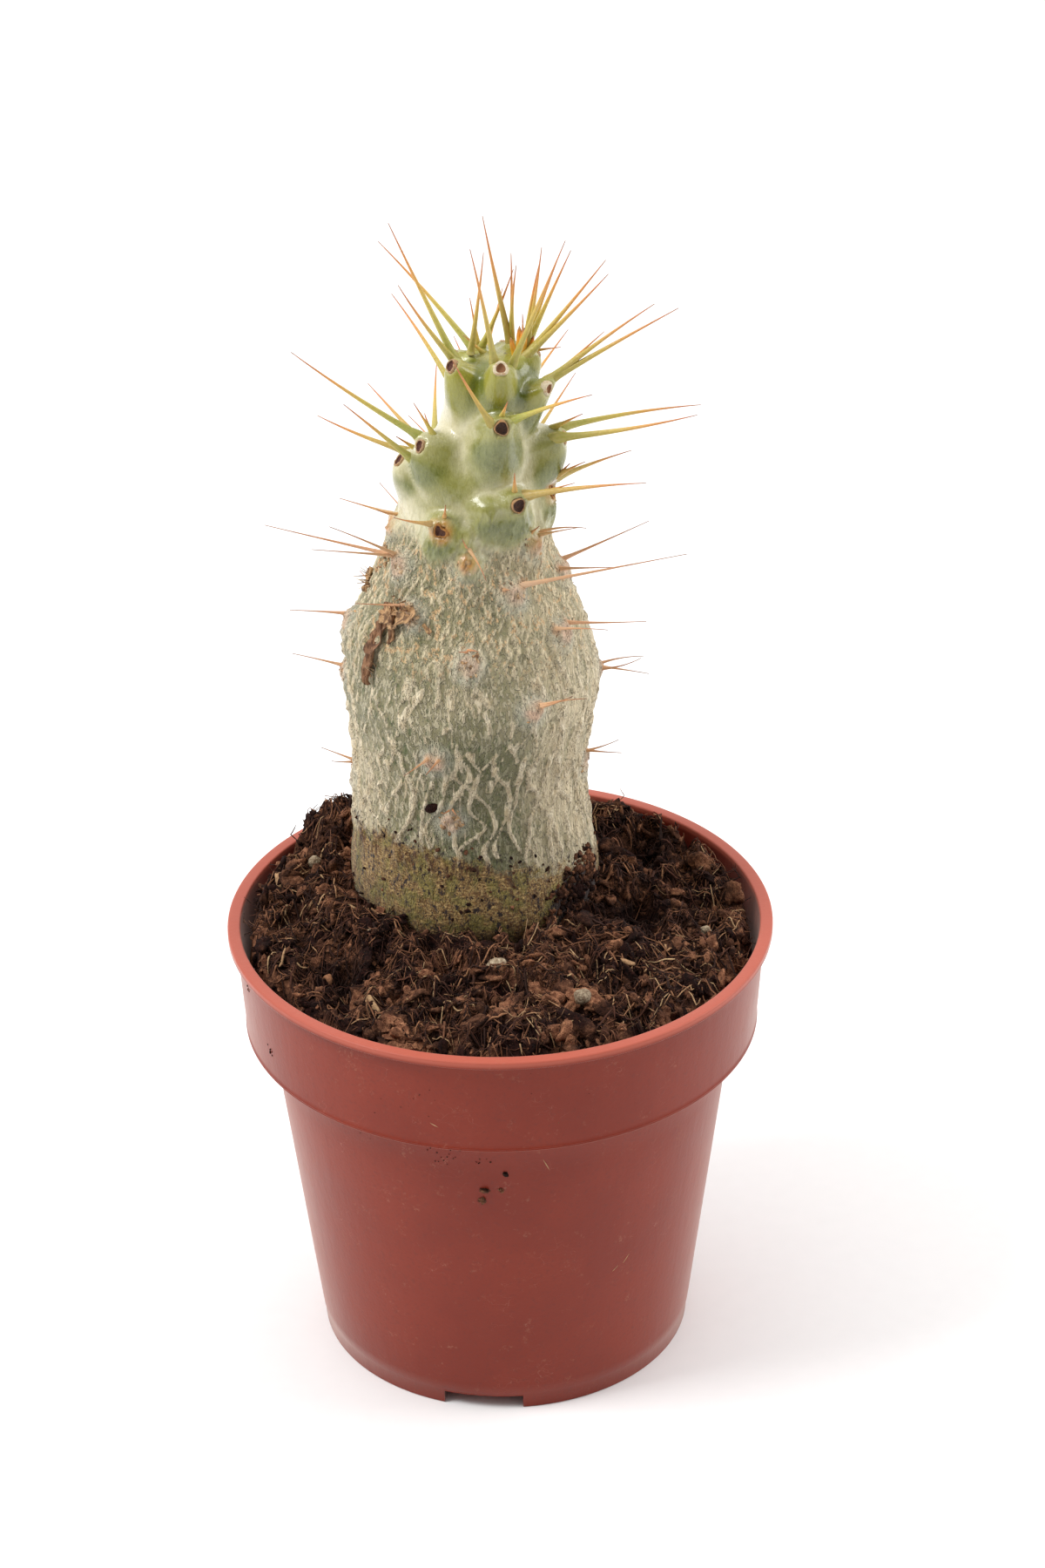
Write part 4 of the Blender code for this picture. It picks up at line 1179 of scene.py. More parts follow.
class Stem:
    """The stem's surface: a smooth body and its tubercles."""

    def __init__(self):
        self.curve = stem_curve()
        self.tubercles = [Tubercle(self, *row) for row in SEEN_TUBERCLES]
        draw = random.Random(FAR_SIDE_SEED)
        for number in range(SPIRAL_COUNT):
            height = SPIRAL_TOP - SPIRAL_DROP * number ** SPIRAL_POWER
            compass = (SPIRAL_START + GOLDEN_ANGLE * number) % 360.0
            if FAR_SIDE_COMPASS < compass < 360.0 - FAR_SIDE_COMPASS:
                spines = far_side_spines(height, compass, draw)
                style = far_side_style(height)
                self.tubercles.append(Tubercle(self, height, compass, 1.0, style, spines))
        self.swellings = [Tubercle(self, *row, "smooth", ()) for row in SWELLINGS]

    def radius(self, height):
        """The smooth body's radius."""
        return np.interp(height, self.curve[:, 0], self.curve[:, 1])

    def lean(self, height):
        """How far the smooth body's middle is toward +X."""
        return np.interp(height, self.curve[:, 0], self.curve[:, 2])

    def bare(self, compass, height, out=0.0):
        """Points on the smooth body, or a distance out from it."""
        height = np.asarray(height, float)
        middle = np.stack([self.lean(height), np.full(height.shape, STEM_DEPTH), height], axis=-1)
        return middle + heading(compass) * (self.radius(height) + out)[..., None]

    def lifted(self, points, details=None):
        """Points of the smooth body moved out with the tubercles that lift them."""
        pull = np.zeros(points.shape)
        weight = np.full(len(points), 1e-12)
        best = np.zeros(len(points))
        second = np.zeros(len(points))
        below = np.zeros(len(points))
        for tubercle in self.tubercles + self.swellings:
            strength = tubercle.strength(points)
            size = np.linalg.norm(tubercle.lift) * strength
            share = size ** TUBERCLE_PARTING
            pull += (share * strength)[:, None] * tubercle.lift
            weight += share
            wins = size > best
            second = np.where(wins, best, np.maximum(second, size))
            drop = (tubercle.foot[2] - points[:, 2]) / tubercle.width
            below = np.where(wins, drop, below)
            best = np.maximum(best, size)
        if details is not None:
            meeting = np.exp(-((best - second) / GROOVE_WIDTH) ** 2)
            details["lift"] = best
            # The crease where two tubercles meet, which the paint darkens near the top as painted
            # shade
            details["groove"] = meeting * fade(best, 0.5, 1.5)
            # The lower face of each tubercle, which the paint darkens as painted shade
            details["underside_shade"] = fade(below, 0.2, 0.7) * fade(best, 0.5, 2.0)
        return points + pull / weight[:, None]

    def surface(self, compass, height):
        """Points on the stem with its tubercles, without the net."""
        return self.lifted(np.atleast_2d(self.bare(compass, height)))

    def spot(self, compass, height):
        """One point on the stem with its tubercles."""
        return self.surface([compass], [height])[0]

    def surface_frame(self, compass, height):
        """A point on the surface and the directions out of it, up it and across it."""
        step = FRAME_STEP
        turn = math.degrees(step / max(float(self.radius(height)), 1.0))
        spots = self.surface([compass, compass + turn, compass - turn, compass, compass],
                             [height, height, height, height + step, height - step])
        across = unit(spots[1] - spots[2])
        up = unit(spots[3] - spots[4])
        out = unit(np.cross(across, up))
        return spots[0], out, np.cross(out, across), across


def girth(height):
    """How stout the spines of a height are: young ones are stouter than old ones."""
    return OLD_GIRTH + (1.0 - OLD_GIRTH) * float(fade(height, *GIRTH_RISE))


def spine_roots(stem, tubercle):
    """Each spine's place on the surface: beside the scar, or above it if it is short."""
    spread = OLD_SPINE_SPREAD if tubercle.height < OLD_HEIGHT else 1.0
    aside = spread * math.degrees(SPINE_SIDE_STEP / float(stem.radius(tubercle.level)))
    for compass, rise, length in tubercle.spines:
        if length < SHORT_SPINE:
            turn = 0.0
            level = tubercle.level + SHORT_SPINE_STEP
        else:
            turn = aside if compass > tubercle.compass else -aside
            level = tubercle.level + SPINE_RAISE * spread
        root = stem.spot(tubercle.compass + turn, min(level, STEM_STATIONS[-2][0]))
        yield root, toward(compass, rise), length


def strands(compass, height, kind, density, seed, breaks=STRAND_BREAKS):
    """1 along raised strands that wave against each other up the bark, 0 away from them.

    A kind says how many strands stand round the stem, the length of their waves and half
    their width.
    """
    count, length, width = kind
    spots = compass / 360.0 * count
    spacing = 2.0 * math.pi * STRAND_STEM_RADIUS / count
    best = np.zeros(len(spots))
    for step in (-1, 0, 1):
        strand = np.round(spots).astype(np.int64) + step
        number = strand % count
        line = np.stack([number * STRAND_NOISE_STEP, 0.0 * spots, height], axis=-1)
        side = np.where(number % 2, 1.0, -1.0)
        phase = STRAND_PHASE * noise(line * (1, 1, 0), 1.0, seed)
        wave = np.sin(2.0 * np.pi * height / length + phase)
        wander = STRAND_WANDER * noise(line, (1, 1, 4.0), seed + 1)
        away = np.abs(spots - (strand + side * STRAND_WAVE * wave + wander)) * spacing
        swell = 0.5 * noise(line, (1, 1, 3.0), seed + 2)
        nicks = 0.35 * noise(line, (1, 1, 0.9), seed + 4)
        kept = fade(noise(line, (1, 1, breaks), seed + 3) + density, 0.0, 0.4)
        best = np.maximum(best, kept * np.exp(-(away / (width * (1.0 + swell + nicks))) ** 2))
    return best


def bark_relief(stem, compass, height):
    """Relief of the bark, and how far each spot is on a strand or wrinkle or is cream."""
    smooth = stem.bare(compass, height)
    side = signed(compass)
    net_zone = within(height, NET_ZONE)

    # The net thins out upward and, a little, toward the left
    density = 1.0 - 1.1 * fade(height, 122.0, 20.0) - 0.35 * fade(-side, 12.0, 30.0)
    ridge = strands(compass, height, NET_STRANDS, density, 31) * net_zone
    dash = strands(compass, height, DASHES, -0.1, 61, DASH_BREAKS) * within(height, DASH_ZONE)
    ridge = np.maximum(ridge, dash)

    # Fine strands fill the sides, fewer of them on the grey upper left
    grey = fade(height, 122.0, 14.0) * fall(-side, 90.0, 50.0)
    density = -0.1 + 0.7 * fade(np.abs(side), 18.0, 26.0) - 0.4 * grey * fade(-side, 18.0, 26.0)
    fine = strands(compass, height, FINE_STRANDS, density, 41) * net_zone

    zone = within(height + 4.0 * noise(smooth, 8.0, 26), WRINKLE_ZONE)
    wrinkle = zone * strands(compass, height, WRINKLES, 0.3, 51, WRINKLE_BREAKS)
    rumple = rough(smooth, (1.6, 1.6, 3.0), 3, 27) * fall(height, 166.0, 10.0)
    dents = rough(smooth, 14.0, 2, 28) * within(height, DENT_ZONE)
    relief = NET_HEIGHT * ridge + FINE_NET_HEIGHT * fine + WRINKLE_HEIGHT * wrinkle
    relief += RUMPLE_HEIGHT * rumple + DENT_HEIGHT * dents

    # Cream bark on the right and lower left, where it is partly painted side light, and in the
    # middle above; painted shade on the front below it
    cream = fade(side, 12.0, 36.0) + 0.92 * fade(-side, 30.0, 40.0) * (1.0 - grey)
    cream += 0.35 * fade(height, 132.0, 16.0) * fall(np.abs(side - 10.0), 20.0, 20.0)
    cream *= 0.6 + 0.5 * noise(smooth, (1.5, 1.5, 6.0), 29)
    front_shade = fall(np.abs(side - 4.0), 14.0, 16.0) * fall(np.abs(height - 118.0), 10.0, 14.0)
    front_shade *= 0.8 + 0.3 * noise(smooth, 4.0, 30)
    return relief, {"ridge": np.clip(ridge + 0.6 * fine, 0.0, 1.0), "wrinkle": wrinkle,
                    "cream": np.clip(cream, 0.0, 1.0), "front_shade": front_shade}


def stem_rows(curve):
    """Stations thinned out to the spacing of rows, wider apart below the soil."""
    rows = [curve[0]]
    run = 0.0
    for previous, station in zip(curve, curve[1:]):
        run += np.linalg.norm((station - previous)[:2])
        if run >= (BURIED_ROW_SPACING if station[0] < BURIED_TOP else STEM_ROW_SPACING):
            rows.append(station)
            run = 0.0
    rows[-1] = curve[-1]
    return np.array(rows)


def stain_line(compass):
    """The height up to which old soil has stained the bark."""
    return np.interp(signed(compass), *zip(*STAIN_EDGE))


def hollows(lift, radius):
    """How far each spot of the skin lies below the tubercles around it, from 0 to 1."""
    spacing = 2.0 * math.pi * radius / STEM_COLUMNS
    turns = np.fft.rfftfreq(STEM_COLUMNS)[None, :] / spacing[:, None]
    spread = np.exp(-2.0 * (math.pi * HOLLOW_SIZE * turns) ** 2)
    around = np.fft.irfft(np.fft.rfft(lift, axis=1) * spread, n=STEM_COLUMNS, axis=1)
    reach = HOLLOW_ROWS
    steps = np.arange(-reach, reach + 1)
    weights = np.exp(-0.5 * (steps * STEM_ROW_SPACING / HOLLOW_SIZE) ** 2)
    padded = np.pad(around, ((reach, reach), (0, 0)), mode="edge")
    around = sum(weight * padded[reach + step:reach + step + len(lift)]
                 for step, weight in zip(steps, weights / weights.sum()))
    return np.clip((around - lift) / HOLLOW_DEPTH, 0.0, 1.0)


def mark_tubercle(stem, tubercle, points, marks):
    """Draws the skin out along the spines, sinks the scar and marks the skin around them."""
    for root, direction, length in spine_roots(stem, tubercle):
        away = np.linalg.norm(points - root, axis=1)
        near = away < 5.0
        flare = np.exp(-(away[near] / ROOT_FLARE_WIDTH) ** 2) * min(1.0, length / 14.0)
        rise = ROOT_FLARE_HEIGHT * girth(tubercle.height) * flare
        points[near] += rise[:, None] * direction
        marks["root"][near] = np.maximum(marks["root"][near], flare)
    centre, out, _, _ = stem.surface_frame(tubercle.compass, tubercle.level)
    disc, rim, _, _ = SCAR_STYLES[tubercle.style]
    away = np.linalg.norm(points - centre, axis=1)
    near = away < 6.0
    away = away[near]
    worn = tubercle.style == "worn"
    pit = (WORN_SCAR_DEPTH if worn else SCAR_DEPTH) * fall(away, disc + 0.2 * rim, 0.5)
    points[near] -= pit[:, None] * out
    patchy = 0.75 + 0.5 * noise(points[near], 0.9, 33)
    if worn and tubercle.height < PAD_TOP:
        marks["pad"][near] += patchy * fall(away, 1.2, 1.4)
        marks["halo"][near] += patchy * fall(away, 2.4, 2.6)
        points[near] += (PAD_HEIGHT * patchy * fall(away, 0.9, 1.6))[:, None] * out
    else:
        marks["halo"][near] += fall(away, disc + rim + 0.2, 0.9)
    if tubercle.style == "brown":
        marks["pad"][near] += patchy * fall(away, 1.2, 2.2)


def build_stem(stem):
    """The stem's skin with its relief and the marks that its paint follows."""
    rows = stem_rows(stem.curve)[1:-1]
    turns = 360.0 * np.arange(STEM_COLUMNS) / STEM_COLUMNS
    height, compass = (grid.ravel() for grid in np.meshgrid(rows[:, 0], turns, indexing="ij"))
    relief, marks = bark_relief(stem, compass, height)
    details = {}
    points = stem.lifted(stem.bare(compass, height), details)
    edge = height + 2.2 * details["lift"] + 2.0 * noise(points, 4.0, 34)
    relief += LIP_HEIGHT * within(edge, LIP_ZONE)
    points += heading(compass) * relief[:, None]
    marks.update({name: np.zeros(len(points)) for name in ("root", "pad", "halo")})
    for tubercle in stem.tubercles:
        mark_tubercle(stem, tubercle, points, marks)
    smear = np.linalg.norm((points - stem.spot(*SMEAR_PLACE)) / SMEAR_SIZE, axis=1)
    side = signed(compass)
    # Painted side light: the skin is paler toward the left and, less so, the right
    left = fade(-side, 30.0, 38.0) * (1.0 - 0.8 * fade(-side, 80.0, 30.0))
    lift = details.pop("lift").reshape(len(rows), STEM_COLUMNS)
    marks.update(details, smear=np.exp(-smear ** 2), hollow=hollows(lift, rows[:, 1]).ravel(),
                 smooth=fade(edge, 168.0, 7.0), stain=stain_line(compass) - height,
                 rim_side=left + 0.2 * fade(side, 40.0, 40.0))
    rings = points.reshape(len(rows), STEM_COLUMNS, 3)
    tip = stem.spot(0, stem.curve[-1, 0])
    points, faces = closed_skin(rings, stem.bare(0, stem.curve[0, 0]), tip)
    marks = {name: np.append(values, (0.0, 0.0)) for name, values in marks.items()}
    mesh = make_mesh("stem", points, faces, **marks)
    add_piece("stem", mesh, bark_material(), replaces="plant")


def build_scars(stem):
    """A corky rim round a sunken disc where each leaf stood."""
    draw = random.Random(3)
    turn = 2.0 * np.pi * np.arange(SCAR_SIDES) / SCAR_SIDES
    all_points, dark, pale, rims = [], [], [], []
    for tubercle in stem.tubercles:
        disc, rim, darkness, paleness = SCAR_STYLES[tubercle.style]
        centre, out, up, across = stem.surface_frame(tubercle.compass, tubercle.level)
        uneven = 0.22 if tubercle.style in ("worn", "brown") else 0.07
        waves = np.sin(2 * turn + draw.uniform(0, 6)) + np.sin(3 * turn + draw.uniform(0, 6))
        spread = across * np.cos(turn)[:, None] + up * SCAR_TALLNESS * np.sin(turn)[:, None]
        rings = []
        for reach, depth, is_rim in SCAR_PROFILE:
            radius = disc * min(reach, 1.0) + rim * max(reach - 1.0, 0.0)
            ripple = 0.06 * np.sin(7 * turn + reach * 4.0)[:, None] * out * is_rim
            reach_out = spread * (radius * (1.0 + uneven * waves))[:, None]
            rings.append(centre + reach_out + out * depth + ripple)
            rims += [is_rim] * SCAR_SIDES
        points, faces = closed_skin(np.array(rings), centre - out * 0.5, centre - out * 1.3)
        all_points.append(points)
        rims += [0.0, 1.0]
        dark += [darkness * draw.uniform(0.9, 1.0)] * len(points)
        pale += [paleness] * len(points)
    faces = copies(len(points), [group[:, ::-1] for group in faces], len(all_points))
    mesh = make_mesh("leaf_scars", np.concatenate(all_points), faces, dark=dark, pale=pale,
                     rim=rims)
    add_piece("leaf_scars", mesh, scar_material())


def spine_course(root, direction, length, compass, sway, bend):
    """A spine's path out of the stem, and how far each point of it is sunk, from 0 to 1.

    The sunk part bends inward, so that it stays out of sight.
    """
    share = SPINE_SHARE
    total = length + SPINE_SINK
    path = root + direction * (share[:, None] * total - SPINE_SINK)
    path += bend * (sway * 4.0 * share * (1.0 - share))[:, None]
    sunk = np.clip(1.0 - share * total / SPINE_SINK, 0.0, 1.0)
    return path - heading(compass) * (SPINE_SINK_BEND * sunk * sunk)[:, None], sunk


def spine_radii(length, slender, youth):
    """Radii along a spine: a young one tapers evenly, an old one is drawn out thin."""
    stout = SPINE_ROOT_RADIUS * slender * (1.4 - 0.4 * youth)
    taper = (stout - SPINE_TIP_RADIUS) * (1.0 - SPINE_SHARE) ** (1.75 - 0.6 * youth)
    reach = np.maximum(SPINE_SHARE * (length + SPINE_SINK) - SPINE_SINK, 0.0)
    return SPINE_TIP_RADIUS + taper + SPINE_FLARE * slender * np.exp(-(reach / 1.5) ** 1.2)


def build_spines(stem):
    """Slender spines, a little bent, with a flared root."""
    draw = random.Random(7)
    paths, radii, youths, tones = [], [], [], []
    for tubercle in stem.tubercles:
        youth = float(fade(tubercle.height, *YOUTH_RISE))
        for root, direction, length in spine_roots(stem, tubercle):
            bend = unit(np.cross(direction, [draw.uniform(-1, 1), draw.uniform(-1, 1), 0.3]))
            straight = youth > 0.5 or length > SHORT_SPINE
            sway = SPINE_SWAY if straight else OLD_SHORT_SPINE_SWAY
            sway *= length * draw.uniform(-1.0, 1.0)
            path, sunk = spine_course(root, direction, length, tubercle.compass, sway, bend)
            slender = min(1.0, 0.5 + 0.5 * length / 24.0) * girth(tubercle.height)
            slender *= draw.uniform(0.92, 1.06)
            paths.append(path)
            radii.append(spine_radii(length, slender, youth) * (1.0 - 0.5 * sunk))
            youths.append(youth)
            tones.append(draw.random())
    points, faces = tubes(paths, radii, SPINE_SIDES)
    per_spine = SPINE_STEPS * SPINE_SIDES
    along = np.tile(np.repeat(SPINE_SHARE, SPINE_SIDES), len(paths))
    mesh = make_mesh("spines", points, faces, along=along, youth=np.repeat(youths, per_spine),
                     tone=np.repeat(tones, per_spine))
    add_piece("spines", mesh, spine_material())


# Bud, dry leaf, flakes and soil on the stem


def build_bud():
    """The youngest leaves, packed to an orange bud beside the tip."""
    share = np.linspace(0.0, 1.0, 9)
    paths, radii = [], []
    for x, y, compass, rise, length, width in BUD_LEAVES:
        root = np.array([x, y, BUD_FOOT])
        paths.append(root + toward(compass, rise) * (share * length)[:, None])
        radii.append(width * np.sqrt(np.sin(np.pi * (0.2 + 0.8 * share) ** 1.3)) + 0.04)
    points, faces = tubes(paths, radii, BUD_SIDES, flatness=0.8)
    along = np.tile(np.repeat(share, BUD_SIDES), len(paths))
    add_piece("bud", make_mesh("bud", points, faces, along=along), bud_material())


def strip_rows(stem, course, width, curl, seed):
    """Rows across a thin curled strip that runs along a course on the bark."""
    course = np.array(course, float)
    along = np.linspace(0.0, 1.0, STRIP_ROWS)
    knots = np.linspace(0.0, 1.0, len(course))
    across = np.linspace(-1.0, 1.0, STRIP_COLUMNS)
    centres, outs = [], []
    for place in along:
        compass, height = (np.interp(place, knots, column) for column in course.T)
        centre, out, _, _ = stem.surface_frame(compass, height)
        centres.append(centre)
        outs.append(out)
    centres, outs = np.array(centres), np.array(outs)
    sides = unit(np.cross(outs, np.gradient(centres, axis=0)))
    torn = 1.0 + 0.5 * noise(centres, 1.3, seed)
    half = width * torn * np.sin(np.pi * (0.1 + 0.85 * along)) ** 0.45
    rows = centres[:, None] + sides[:, None] * (half[:, None] * across)[..., None]
    ragged = 0.35 * noise(rows, 0.8, seed + 1)
    rise = 0.5 + curl * across ** 2 + 0.7 * noise(rows, 1.8, seed + 2) + ragged
    return rows + outs[:, None] * rise[..., None], outs


def build_dry_leaf(stem):
    """The papery remains of dead leaves in curled strips."""
    all_points, tones = [], []
    for number, (course, width, curl, tone) in enumerate(DRY_STRIPS):
        top, outs = strip_rows(stem, course, width, curl, 300 + 5 * number)
        under = top - outs[:, None] * STRIP_THICKNESS
        all_points.append(np.concatenate([top, under[:, ::-1]], axis=1).reshape(-1, 3))
        tones += [tone] * len(all_points[-1])
    ring = 2 * STRIP_COLUMNS
    ends = [np.arange(ring)[None, ::-1], (np.arange(ring) + ring * (STRIP_ROWS - 1))[None]]
    faces = copies(ring * STRIP_ROWS, [ring_faces(STRIP_ROWS, ring)] + ends, len(DRY_STRIPS))
    mesh = make_mesh("dry_leaf", np.concatenate(all_points), faces, tone=tones)
    add_piece("dry_leaf", mesh, dry_material())


def build_bristles(stem):
    """Stiff fibres that stick out of the dead leaves."""
    draw = random.Random(15)
    share = np.linspace(0.0, 1.0, BRISTLE_STEPS)
    paths, radii, tones = [], [], []
    for compass, height, spread, count in BRISTLES:
        for _ in range(count):
            turn = compass + draw.uniform(-spread, spread)
            root = stem.spot(turn, height + draw.uniform(-1.5, 1.5))
            aim = toward(turn + draw.uniform(-50, 50), draw.uniform(-20, 70))
            paths.append(root + aim * (share * draw.uniform(1.5, 4.2))[:, None])
            radii.append(draw.uniform(0.1, 0.2) * (1.0 - 0.75 * share))
            tones.append(draw.uniform(0.3, 0.95))
    points, faces = tubes(paths, radii, BRISTLE_SIDES)
    tones = np.repeat(tones, BRISTLE_STEPS * BRISTLE_SIDES)
    mesh = make_mesh("dry_bristles", points, faces, tone=tones)
    add_piece("dry_bristles", mesh, dry_material())


def spots_round(stem, compass, height, reach, count, draw):
    """Places on the stem spread round one of them."""
    turn = math.degrees(1.0 / float(stem.radius(height)))
    spots = []
    for _ in range(count):
        away = reach * math.sqrt(draw.random())
        angle = draw.uniform(0.0, 2.0 * math.pi)
        aside = turn * away * math.cos(angle)
        spots.append(stem.spot(compass + aside, height + away * math.sin(angle)))
    return spots


class Heap:
    """Places, sizes and tones of crumbs, gathered group by group."""

    def __init__(self, draw):
        self.draw = draw
        self.spots, self.sizes, self.tones = [], [], []

    def add(self, spots, sizes, tones, scale=1.0):
        """Crumbs at spots, their sizes and tones drawn between two values each."""
        self.spots += spots
        self.sizes += [scale * self.draw.uniform(*sizes) for _ in spots]
        self.tones += [self.draw.uniform(*tones) for _ in spots]


def add_flakes(stem):
    """Pale flakes of bark round the worn scars, and a tan crust on the left."""
    draw = random.Random(25)
    heap = Heap(draw)
    for tubercle in stem.tubercles:
        if tubercle.style == "worn" and tubercle.height < FLAKE_TOP:
            near = spots_round(stem, tubercle.compass, tubercle.level, 2.7, 14, draw)
            heap.add(near, (0.25, 0.65), (0.75, 1.0))
    for crust in CRUSTS:
        heap.add(spots_round(stem, *crust, draw), (0.35, 0.95), (0.7, 0.9))
    add_crumbs("bark_flakes", heap.spots, heap.sizes, 1, 26, dry_material(), heap.tones,
               slot="plant", shape=(1.0, 0.7, 0.4))


def add_bark_soil(stem, material):
    """Specks of soil on the stained band, a clod and the soil heaped against the right."""
    draw = random.Random(35)
    heap = Heap(draw)
    for _ in range(BARK_SPECKS):
        compass = draw.uniform(-180.0, 180.0)
        height = float(stain_line(np.array(compass))) - 16.0 * draw.random() ** 1.4 + 3.0
        heap.add([stem.spot(compass, height)], (0.2, 0.62), (0.0, 0.6))
    for *place, size in BARK_CLODS:
        heap.add(spots_round(stem, *place, draw), (0.5, 1.1), (0.0, 0.7), scale=size)
    add_crumbs("bark_soil", heap.spots, heap.sizes, 2, 36, material, heap.tones, slot="plant")


# Soil


def soil_height(points, share):
    """The soil's top at level places, higher by the stem and with creases between its clods."""
    height = SOIL_COLLAR_HEIGHT + (SOIL_LEVEL - SOIL_COLLAR_HEIGHT) * fade(share, 0.0, 1.0)
    for x, y, rise, spread in SOIL_LUMPS:
        away = np.hypot(points[..., 0] - x, points[..., 1] - y) / spread
        height = height + rise * np.exp(-away * away)
    layers = []
    for size in (GRAIN_SIZE, CLOD_SIZE):
        spots = (points * (1.0, 1.0, 0.0)).reshape(-1, 3) / size
        layer = [solid_noise.noise(spot) for spot in spots.tolist()]
        layers.append(np.array(layer).reshape(height.shape))
    creased = 1.0 - CLOD_CREASE * np.abs(layers[1])
    return height + GRAIN_HEIGHT * layers[0] + CLOD_HEIGHT * creased


def pit_shade(x, y):
    """1 in the soil's pits, where painted shade darkens the soil, and 0 away from them."""
    pit_shade_sum = 0.0
    for pit_x, pit_y, rise, spread in SOIL_LUMPS:
        if rise < 0.0:
            away = ((x - pit_x) ** 2 + (y - pit_y) ** 2) / spread ** 2
            pit_shade_sum = pit_shade_sum + PIT_SHADE * np.exp(-away)
    return np.minimum(pit_shade_sum, 1.0)


def soil_top(stem, turns):
    """Rings of the soil's top, from the stem's hole to the shrunken edge."""
    hole = stem.bare(turns, np.full(turns.shape, SOIL_COLLAR_HEIGHT), CLEARANCE)
    side = np.abs(np.sin(np.radians(turns)))
    shrink = 0.5 + 1.3 * side ** 3 + 0.5 * noise(heading(turns) * 50.0, 6.0, 51)
    limit = inner_radius(POT_HEIGHT) - CLEARANCE
    wall = heading(turns) * (limit - np.maximum(shrink, 0.0))[:, None]
    share = np.linspace(0.0, 1.0, SOIL_RINGS)[:, None]
    places = hole + (wall - hole) * share[..., None]
    places[..., 2] = 0.0
    height = soil_height(places, np.broadcast_to(share, places.shape[:2]))
    height = height + FINE_GRAIN_HEIGHT * rough(places, 2.2, 3, 53)
    edge = np.minimum(height[-1], POT_HEIGHT) - SOIL_EDGE_DROP
    drop = fade(share, 1.0 - SOIL_EDGE_SHARE, SOIL_EDGE_SHARE)
    places[..., 2] = height * (1.0 - drop) + edge * drop
    return places


def build_soil(stem, material):
    """The bed of soil. It gives back its top, for things to lie on."""
    turns = 360.0 * np.arange(SOIL_COLUMNS) / SOIL_COLUMNS
    top = soil_top(stem, turns)
    ledge = COLLAR_BOTTOM + POT_WALL + CLEARANCE
    floor = FLOOR_TOP + CLEARANCE
    hole = [stem.bare(turns, np.full(turns.shape, height), CLEARANCE)
            for height in SOIL_HOLE_ROWS]
    edge = top[-1, :, 2].min()
    wall = []
    for height, radius in ((edge - 3.0, inner_radius(edge)), (ledge, inner_radius(ledge)),
                           (ledge, inner_radius(ledge - 1.0)), (floor, inner_radius(floor) - 0.8)):
        ring = heading(turns) * (radius - CLEARANCE)
        ring[:, 2] = height
        wall.append(ring)
    rings = np.concatenate([np.array(hole), top, np.array(wall)])
    points, faces = closed_skin(rings, stem.bare(0, SOIL_HOLE_BOTTOM), (0.0, 0.0, floor))
    faces = [group[:, ::-1] for group in faces]
    # Painted shade: the soil's tone falls in its pits
    tone = (0.35 + 0.3 * noise(points, 5.0, 54)) * (1.0 - pit_shade(points[:, 0], points[:, 1]))
    mesh = make_mesh("soil_bed", points, faces, tone=tone)
    add_piece("soil_bed", mesh, material, replaces="soil")
    return BVHTree.FromPolygons(top.reshape(-1, 3).tolist(),
                                ring_faces(SOIL_RINGS, SOIL_COLUMNS).tolist())


def land(tree, x, y):
    """The soil's height at a place, or nothing beside it."""
    hit = tree.ray_cast(Vector((x, y, ABOVE_SOIL)), Vector((0.0, 0.0, -1.0)))[0]
    return None if hit is None else hit.z


def random_spots(tree, stem, count, draw, margin):
    """Places spread evenly over the soil, clear of the stem and the wall."""
    spots = []
    limit = inner_radius(POT_HEIGHT) - margin - CLEARANCE
    while len(spots) < count:
        x = draw.uniform(-limit, limit)
        y = draw.uniform(-limit, limit)
        trunk = math.hypot(x - stem.lean(SOIL_LINE), y - STEM_DEPTH)
        if math.hypot(x, y) > limit or trunk < stem.radius(SOIL_LINE) + margin * 0.3:
            continue
        z = land(tree, x, y)
        if z is not None:
            spots.append((x, y, z))
    return np.array(spots)


def ball(detail):
    """Points and triangles of a round ball of radius 1."""
    bm = bmesh.new()
    bmesh.ops.create_icosphere(bm, subdivisions=detail, radius=1.0)
    points = np.array([vert.co for vert in bm.verts])
    faces = np.array([[vert.index for vert in face.verts] for face in bm.faces])
    bm.free()
    return points, faces


def random_turns(count, draw):
    """Rotation matrices spread over all directions, each from a random unit quaternion."""
    turns = []
    for _ in range(count):
        x, y, z = (draw.random() for _ in range(3))
        y *= 2 * math.pi
        z *= 2 * math.pi
        a, b = math.sqrt(1 - x) * math.sin(y), math.sqrt(1 - x) * math.cos(y)
        c, d = math.sqrt(x) * math.sin(z), math.sqrt(x) * math.cos(z)
        turns.append([[1 - 2 * (c * c + d * d), 2 * (b * c - a * d), 2 * (b * d + a * c)],
                      [2 * (b * c + a * d), 1 - 2 * (b * b + d * d), 2 * (c * d - a * b)],
                      [2 * (b * d - a * c), 2 * (c * d + a * b), 1 - 2 * (b * b + c * c)]])
    return np.array(turns)


def crumbs(spots, sizes, detail, draw, shape=(1.0, 0.75, 0.55), lumpiness=0.5):
    """Rough crumbs of soil at spots: each is a dented ball, stretched and turned."""
    points, faces = ball(detail)
    count = len(spots)
    stretch = np.array([[axis * draw.uniform(0.75, 1.25) for axis in shape] for _ in range(count)])
    seeds = np.array([[draw.uniform(0, 900) for _ in range(3)] for _ in range(count)])
    dent = rough(points[None] * 1.0 + seeds[:, None], 0.75, 3, 61)
    body = points[None] * (1.0 + lumpiness * dent)[..., None] * stretch[:, None]
    body = np.einsum("nij,npj->npi", random_turns(count, draw), body)
    body = body * np.asarray(sizes)[:, None, None] + np.asarray(spots)[:, None]
    return body.reshape(-1, 3), copies(len(points), [faces], count), len(points)


